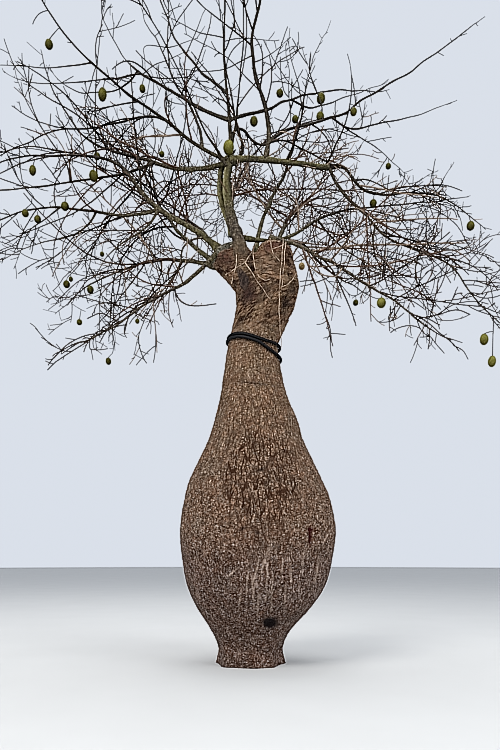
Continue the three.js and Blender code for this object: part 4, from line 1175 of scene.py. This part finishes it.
def thinned(pts, keep_short, length):
    """which paths stay: a share of them by their place in the view, and few and short ones where it shows sky"""
    sky = open_sky(pts)
    px_, py_ = seen(pts[:, pts.shape[1] // 2])
    share, total = np.full(len(pts), SHARE * 0.35), np.full(len(pts), 0.35)
    for x, y, rx, ry, value in SHARES:
        w = np.exp(-((px_ - x) / rx) ** 2 - ((py_ - y) / ry) ** 2)
        share, total = share + w * value, total + w
    chance = rng.random((2, len(pts)))
    share = np.where(py_ < -10, 0.95 * total, share)      # above the picture the crown is full
    return (chance[0] < share / total) & (~sky | ((length < keep_short) & (chance[1] < 0.45)))


def before_pods(pts):
    """true for a path that would cross a pod in the view"""
    px_, py_ = seen(pts)
    out = np.zeros(len(pts), bool)
    for x, y, w, h in PODS:
        out |= (np.hypot((px_ - x) / w, (py_ - y) / h) < 0.75).any(1)
    return out


# each limb runs on past its tip
tip_len = np.array([PAST.get(k, 0.12) for k in names])
tips = grow(P0[:, -1], unit(P0[:, -1] - P0[:, -3]), tip_len, 6, np.full(len(names), 0.10), np.full(len(names), 0.2), 0.05)
levels.append((tips, tapered(7, R0[:, -1] * 0.98, np.full(len(names), 0.0042)), G0, tip_len))

# first side branches: long even arcs
first = np.where(np.array([k in LIMBS for k in names]), 0.14, 0.10)
which, t = shoots(P0, R0, L0 * (1 - first) * FULL0[:, 0], 0.165, 0.0, 1.0)
t = first[which] + (1 - first[which]) * t
keep = t < 0.985
which, t = which[keep], t[keep]
m = len(which)
flip = np.where(np.arange(m) % 2 == 0, 0.0, np.pi)
roll = flip + np.where(flip > 1, -1, 1) * rng.normal(0.30, 0.75, m)
base_, way_, r_ = spawn(P0, R0, t, which, np.radians(rng.uniform(24, 56, m)), roll)
length = np.clip(L0[which] * (0.18 + 0.36 * (1 - t)) * rng.uniform(0.55, 1.40, m), 0.40, 2.1) * FULL0[which, 1]
lift = np.where(HANG0[which], rng.normal(-0.25, 0.65, m), rng.normal(0.05, 0.65, m))
pts = grow(base_, way_, length, 15, lift, np.clip(rng.normal(0, 0.95, m), -1.25, 1.25), 0.048)
pts, keep, run = kept(pts, 0.50, 0.30)
length, r_, which = length[keep] * run, r_[keep], which[keep]
keep = thinned(pts, 0.45, length) & ~before_pods(pts)
pts, length, r_, which = pts[keep], length[keep], r_[keep], which[keep]
r_start = np.clip(np.minimum(r_ * 0.70, 0.0080 + 0.0060 * length), 0.0072, 0.0180)
P1, R1, L1, G1, H1 = pts, tapered(16, r_start, np.full(len(pts), 0.0060)), length, G0[which], HANG0[which]
levels.append((P1, R1, G1, L1))

# twigs: some longer ones on the first side branches, and short ones everywhere
sets2 = []
for generation, spacings in enumerate([[0.0, 0.38], [0.38, 0.30, 0.27]]):
    homes = [(P0, R0, L0, G0, HANG0, FULL0[:, 0]), (P1, R1, L1, G1, H1, np.ones(len(P1)))]
    if generation:
        homes.append(sets2[0] + (np.ones(len(sets2[0][0])),))
    for (parents, prad, lens, group, hang, full), spacing in zip(homes, spacings):
        if not spacing:
            continue
        which, t = shoots(parents, prad, lens * full, spacing, 0.26 if parents is P0 else 0.12, 0.98)
        m = len(which)
        flip = np.where(np.arange(m) % 2 == 0, 0.0, np.pi)
        roll = flip + np.where(flip > 1, -1, 1) * rng.normal(0.4, 0.8, m)
        base_, way_, r_ = spawn(parents, prad, t, which, np.radians(rng.uniform(26, 62, m)), roll)
        length = rng.uniform(0.10, 0.40, m) * (1.15 - 0.4 * t) if generation else rng.uniform(0.30, 0.95, m) * (1.15 - 0.5 * t)
        lift = np.where(hang[which], rng.normal(0.10, 0.60, m), rng.normal(0.26, 0.50, m))
        pts = grow(base_, way_, length, 7, lift, np.clip(rng.normal(0, 0.80, m), -1.2, 1.2), 0.055)
        pts, keep, run = kept(pts, 0.50)
        length, r_, which = length[keep] * run, r_[keep], which[keep]
        keep = thinned(pts, 0.40, length) & ~before_pods(pts)
        pts, length, r_, which = pts[keep], length[keep], r_[keep], which[keep]
        r_start = np.clip(np.minimum(r_ * 0.85, 0.0060 + 0.0032 * length), 0.0057, 0.0090)
        sets2.append((pts, tapered(8, r_start, np.full(len(pts), 0.0050)), length, group[which], hang[which]))
P2 = np.concatenate([x[0] for x in sets2])
R2 = np.concatenate([x[1] for x in sets2])
L2 = np.concatenate([x[2] for x in sets2])
G2 = np.concatenate([x[3] for x in sets2])
levels.append((P2, R2, G2, L2))

# spurs, and a small fork at each tip
sets3 = []
for parents, prad, lens, group, spacing, lo, hi in [
        (tips, levels[0][1], tip_len, G0, 0.12, 0.2, 1.0), (P0[:, 38:], R0[:, 38:], L0 * 0.22, G0, 0.26, 0.0, 1.0), (P1, R1, L1, G1, 0.46, 0.2, 1.0), (P2, R2, L2, G2, 0.42, 0.30, 1.0)]:
    which, t = shoots(parents, prad, lens, spacing, lo, hi)
    m = len(which)
    roll = np.where(np.arange(m) % 2 == 0, 0.0, np.pi) + rng.normal(0, 0.8, m)
    base_, way_, r_ = spawn(parents, prad, t, which, np.radians(rng.uniform(32, 68, m)), roll)
    length = rng.uniform(0.04, 0.16, m) * (1.7 if parents is tips else 1.0)
    pts = grow(base_, way_, length, 3, rng.normal(0.30, 0.35, m), rng.normal(0, 0.3, m), 0.05)
    pts, keep, run = kept(pts, 0.52, 0.6)
    clear = ~before_pods(pts)
    pts, run, keep = pts[clear], run[clear], np.nonzero(keep)[0][clear]
    sets3.append((pts, tapered(4, np.clip(r_[keep] * 0.9, 0.0048, 0.0058), np.full(len(pts), 0.0044)), group[which[keep]], length[keep]))
P3 = np.concatenate([x[0] for x in sets3])
R3 = np.concatenate([x[1] for x in sets3])
G3 = np.concatenate([x[2] for x in sets3])
levels.append((P3, R3, G3, np.concatenate([x[3] for x in sets3])))

# towards the middle of the crown more of the twigs are brown and tan
inner = []
for pts, _, group, _ in levels:
    mid = pts[:, pts.shape[1] // 2]
    near_fork = step(3.5, 1.3, np.linalg.norm(mid - [0.1, 0.0, 6.3], axis=1)) * step(8.2, 7.1, mid[:, 2])
    chance = rng.random(len(pts))
    inner.append(np.where(chance < 0.36 * near_fork, 2, np.where(chance < 0.86 * near_fork, 1, 0)))
inner[0][:] = 0

counts = {}
for which_inner, (piece, look) in enumerate([("twigs_brown", BROWN_TWIG), ("twigs_tan", TAN_TWIG)], 1):
    v, f = joined([tubes(pts[sel == which_inner], rad[sel == which_inner], sides)[:2]
                   for (pts, rad, _, _), sel, sides in list(zip(levels, inner, (5, 5, 4, 3)))[1:]])
    counts[piece] = len(f)
    make(piece, v, f, look)
for index, side_name in enumerate(SIDES):
    parts = []
    for (pts, rad, group, _), own, sides in zip(levels, inner, (5, 5, 4, 3)):
        sel = (group == index) & (own == 0)
        v, f, _ = tubes(pts[sel], rad[sel], sides)
        parts.append((v, f))
    v, f = joined(parts)
    counts[side_name] = len(f)
    ob = make("twigs_" + side_name, v, f, TWIGS[side_name])
    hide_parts(*["spray_" + k for k in SIDES[side_name] if "spray_" + k in NODES])

# ------------------------------------------------------------------ pods
hold_p = np.concatenate([P0.reshape(-1, 3), P1.reshape(-1, 3), P2.reshape(-1, 3)])
hold_r = np.concatenate([R0.ravel(), R1.ravel(), R2.ravel()])
hold_x, hold_y = seen(hold_p)


POD_ROWS, POD_COLS = 22, 20


def pod_mesh(top, wide, tall, spin, tilt):
    rows_n, cols_n = POD_ROWS, POD_COLS
    v = np.arange(1, rows_n) / rows_n
    a = np.arange(cols_n) * 2 * np.pi / cols_n
    body = (2 * np.sqrt(v * (1 - v))) ** 1.05 * (0.96 + 0.08 * v)
    groove = 1 - 0.035 * np.abs(np.cos(2.5 * (a + spin))) ** 6
    r = 0.5 * wide * body[:, None] * groove[None]
    x, y = r * np.cos(a), r * np.sin(a)
    z = np.repeat(-tall * v[:, None], cols_n, 1)
    p = np.stack([x, y, z], -1).reshape(-1, 3)
    p = np.vstack([p, [0, 0, 0.0], [0, 0, -tall * 1.02]])
    k = len(p)
    tri = grid_tris(rows_n - 1, cols_n)[:, ::-1]
    tri = np.concatenate([tri, closing(np.arange(cols_n), k - 2, False), closing(np.arange(k - 2 - cols_n, k - 2), k - 1, True)])
    c, s = math.cos(tilt), math.sin(tilt)
    p = p @ np.array([[c, 0, s], [0, 1, 0], [-s, 0, c]]).T
    return p + top, tri


pod_parts, stalk_parts = [], []
for k, (x, y, w, h) in enumerate(PODS):
    top_y = y - h / 2
    gap = 2.6
    cost = np.hypot((hold_x - x) * 1.3, hold_y - (top_y - gap)) + 6.0 * (hold_y > top_y) + np.where(hold_r < 0.0028, 3, 0)
    best = int(np.argmin(cost))
    depth = hold_p[best, 1] - 0.04
    top = placed(x, top_y, depth)
    scale = (depth - EYE[1]) / FOCAL
    wide, tall = w * scale * 1.14, h * scale * 1.06
    pod_parts.append(pod_mesh(top, wide, tall, 0.7 * k, 0.10 * math.sin(2.3 * k)))
    a = hold_p[best]
    u = np.linspace(0, 1, 6)[:, None]
    bend = a * (1 - u) + (top + [0, 0, -0.006]) * u
    bend = bend + np.array([0, 0, 0.25 * abs(top[0] - a[0])]) * (u * (1 - u))
    stalk_parts.append(tubes(bend[None], np.linspace(0.0042, 0.0058, 6)[None], 6)[:2])
for pod_name, look, chosen in [
        ("pods", POD, set(range(len(PODS))) - BRIGHT_PODS - RIPE_PODS),
        ("pods_bright", BRIGHT_POD, BRIGHT_PODS), ("pods_ripe", RIPE_POD, RIPE_PODS)]:
    v, f = joined([pod_parts[k] for k in sorted(chosen)])
    # how far along each pod a point lies, which sets the pod's painted shade
    down = np.r_[np.repeat(np.arange(1, POD_ROWS) / POD_ROWS, POD_COLS), 0.0, 1.0]
    make(pod_name, v, f, look, {"down": np.tile(down, len(chosen))})
v, f = joined(stalk_parts)
stalks = make("pod_stalks", v, f, TWIGS["right"])

# ------------------------------------------------------------------ hose round the neck
def strand(heights_, gap, thick):
    a = np.arange(120) * 2 * np.pi / 120
    x = 0.05 + 0.38 * np.cos(a)
    z = np.interp(x, STRAND_X, heights_)
    z = (np.roll(z, 1) + 2 * z + np.roll(z, -1)) / 4
    r, l = trunk_at(z)
    p = np.stack([l + (r + gap) * np.cos(a), (r + gap) * np.sin(a), z], 1)
    tangent = unit(np.roll(p, -1, 0) - np.roll(p, 1, 0))
    out_ = unit(np.stack([np.cos(a), np.sin(a), 0 * a], 1))
    up_ = np.cross(out_, tangent) * -1
    b = np.arange(14) * 2 * np.pi / 14
    v_ = p[:, None] + thick / 2 * (np.cos(b)[None, :, None] * out_[:, None] + np.sin(b)[None, :, None] * up_[:, None])
    k = np.arange(120)[:, None] * 14
    k2 = (np.arange(120)[:, None] + 1) % 120 * 14
    j = np.arange(14)
    j2 = (j + 1) % 14
    f_ = np.concatenate([np.stack([k + j, k2 + j, k2 + j2], -1), np.stack([k + j, k2 + j2, k + j2], -1)]).reshape(-1, 3)
    return v_.reshape(-1, 3), f_


v, f = joined([strand(UPPER_STRAND, 0.022, 0.044), strand(LOWER_STRAND, 0.024, 0.044)])
hose = make("hose_strands", v, f, HOSE)
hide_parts("neck_hose")

# ------------------------------------------------------------------ pale twigs that hang before the neck
HANGING = [
    [(283, 238), (282.5, 252), (281, 268), (279.5, 285), (279, 305), (279.6, 322), (281, 337), (281.5, 348)],
    [(285.5, 242), (284.5, 258), (283, 276), (281, 292)],
    [(253, 246), (253.5, 256), (254, 265), (256.5, 272), (260, 278), (265, 280.5), (271, 279)],
    [(237, 250), (236.5, 260), (235, 270), (231, 284)],
    [(245, 262), (252, 273), (260, 285), (267, 295), (271, 300)],
    [(297, 273), (292, 280), (287, 285), (282, 287)],
    [(270, 238), (271, 247), (274, 254), (280, 262)],
    [(225, 275), (235, 269), (245, 262), (251, 254), (256, 243)],
    [(230, 246), (240, 240), (248, 232)],
    [(272, 249), (279, 247), (286, 243)],
]
parts = []
for k, way in enumerate(HANGING):
    w = np.array(way, float)
    s = np.r_[0, np.cumsum(np.linalg.norm(np.diff(w, axis=0), axis=1))]
    u = np.linspace(0, s[-1], 26)
    x, y = np.interp(u, s, w[:, 0]), np.interp(u, s, w[:, 1])
    x = x + 0.35 * np.sin(u / 3.1 + k)
    depth = np.interp(y, [240, 265, 300, 350], [-0.34, -0.47, -0.50, -0.44])
    p = np.stack([placed(a, b, c) for a, b, c in zip(x, y, depth)])
    parts.append(tubes(p[None], np.linspace(0.0062, 0.0036, 26)[None], 5)[:2])
v, f = joined(parts)
hanging = make("hanging_twigs", v, f, PALE_TWIG)

# ------------------------------------------------------------------ floor and light
floor_look = Look("floor", 0.9, 0.1)
floor_look.colour(floor_look.mix(floor_look.noise(0.8, 2.0), (0.52, 0.52, 0.51), (0.56, 0.56, 0.55)))
ang = np.arange(64) * 2 * np.pi / 64
fv = np.vstack([[0, 0, -0.002], np.stack([90 * np.cos(ang), 90 * np.sin(ang), np.full(64, -0.002)], 1)])
ft = np.stack([np.zeros(64, int), 1 + np.arange(64), 1 + (np.arange(64) + 1) % 64], 1)
me = bpy.data.meshes.new("floor")
me.from_pydata(fv.tolist(), [], ft.tolist())
me.materials.append(floor_look.mat)
floor = bpy.data.objects.new("floor", me)
bpy.context.scene.collection.objects.link(floor)

world = bpy.data.worlds.new("world")
world.use_nodes = True
world.node_tree.nodes["Background"].inputs["Color"].default_value = (0.70, 0.745, 0.82, 1.0)
world.node_tree.nodes["Background"].inputs["Strength"].default_value = 1.0
bpy.context.scene.world = world


def area(name, place_, aim, size, power, colour):
    data = bpy.data.lights.new(name, "AREA")
    data.shape = "DISK"
    data.size = size
    data.energy = power
    data.color = colour
    ob_ = bpy.data.objects.new(name, data)
    ob_.location = place_
    ob_.rotation_euler = (Vector(aim) - Vector(place_)).to_track_quat("-Z", "Y").to_euler()
    bpy.context.scene.collection.objects.link(ob_)
    return ob_


area("key", (-9.0, -12.0, 15.0), (0, 0, 4.0), 9.0, 2600, (1.0, 0.985, 0.96))
area("fill", (11.0, -9.0, 10.0), (0, 0, 4.0), 9.0, 1100, (0.96, 0.98, 1.0))
area("top", (0.0, 4.0, 20.0), (0, 0, 5.0), 12.0, 1800, (1.0, 1.0, 1.0))
bpy.context.scene.view_settings.view_transform = "Standard"
bpy.context.scene.view_settings.look = "None"

# a little of the crispness of the view that is matched, left out where the sky is
bpy.context.scene.use_nodes = True
tree = bpy.context.scene.node_tree
tree.nodes.clear()


def treat(kind, *inputs, **settings):
    n = tree.nodes.new("CompositorNode" + kind)
    for key, value in settings.items():
        setattr(n, key, value)
    for socket, value in zip(n.inputs, inputs):
        if isinstance(value, float):
            socket.default_value = value
        elif value is not None:
            tree.links.new(value, socket)
    return n.outputs[0] if len(n.outputs) else None


image = treat("RLayers")
even = treat("Gamma", image, 1.0 / 2.2)
grey = treat("RGBToBW", even)
change = treat("MixRGB", 1.0, treat("Filter", 0.28, grey, filter_type="SHARPEN"), grey, blend_type="SUBTRACT")
change = treat("MapRange", change, -0.15, 0.45, -0.15, 0.45, use_clamp=True)
crisp = treat("MixRGB", 1.0, even, change, blend_type="ADD", use_clamp=True)
bright = treat("MapRange", grey, 0.62, 0.80, 0.0, 0.80, use_clamp=True)
treat("Composite", treat("Gamma", treat("MixRGB", bright, crisp, even), 2.2))

bpy.context.view_layer.update()
print("TWIGS", counts, "LEVELS", [len(x[0]) for x in levels])
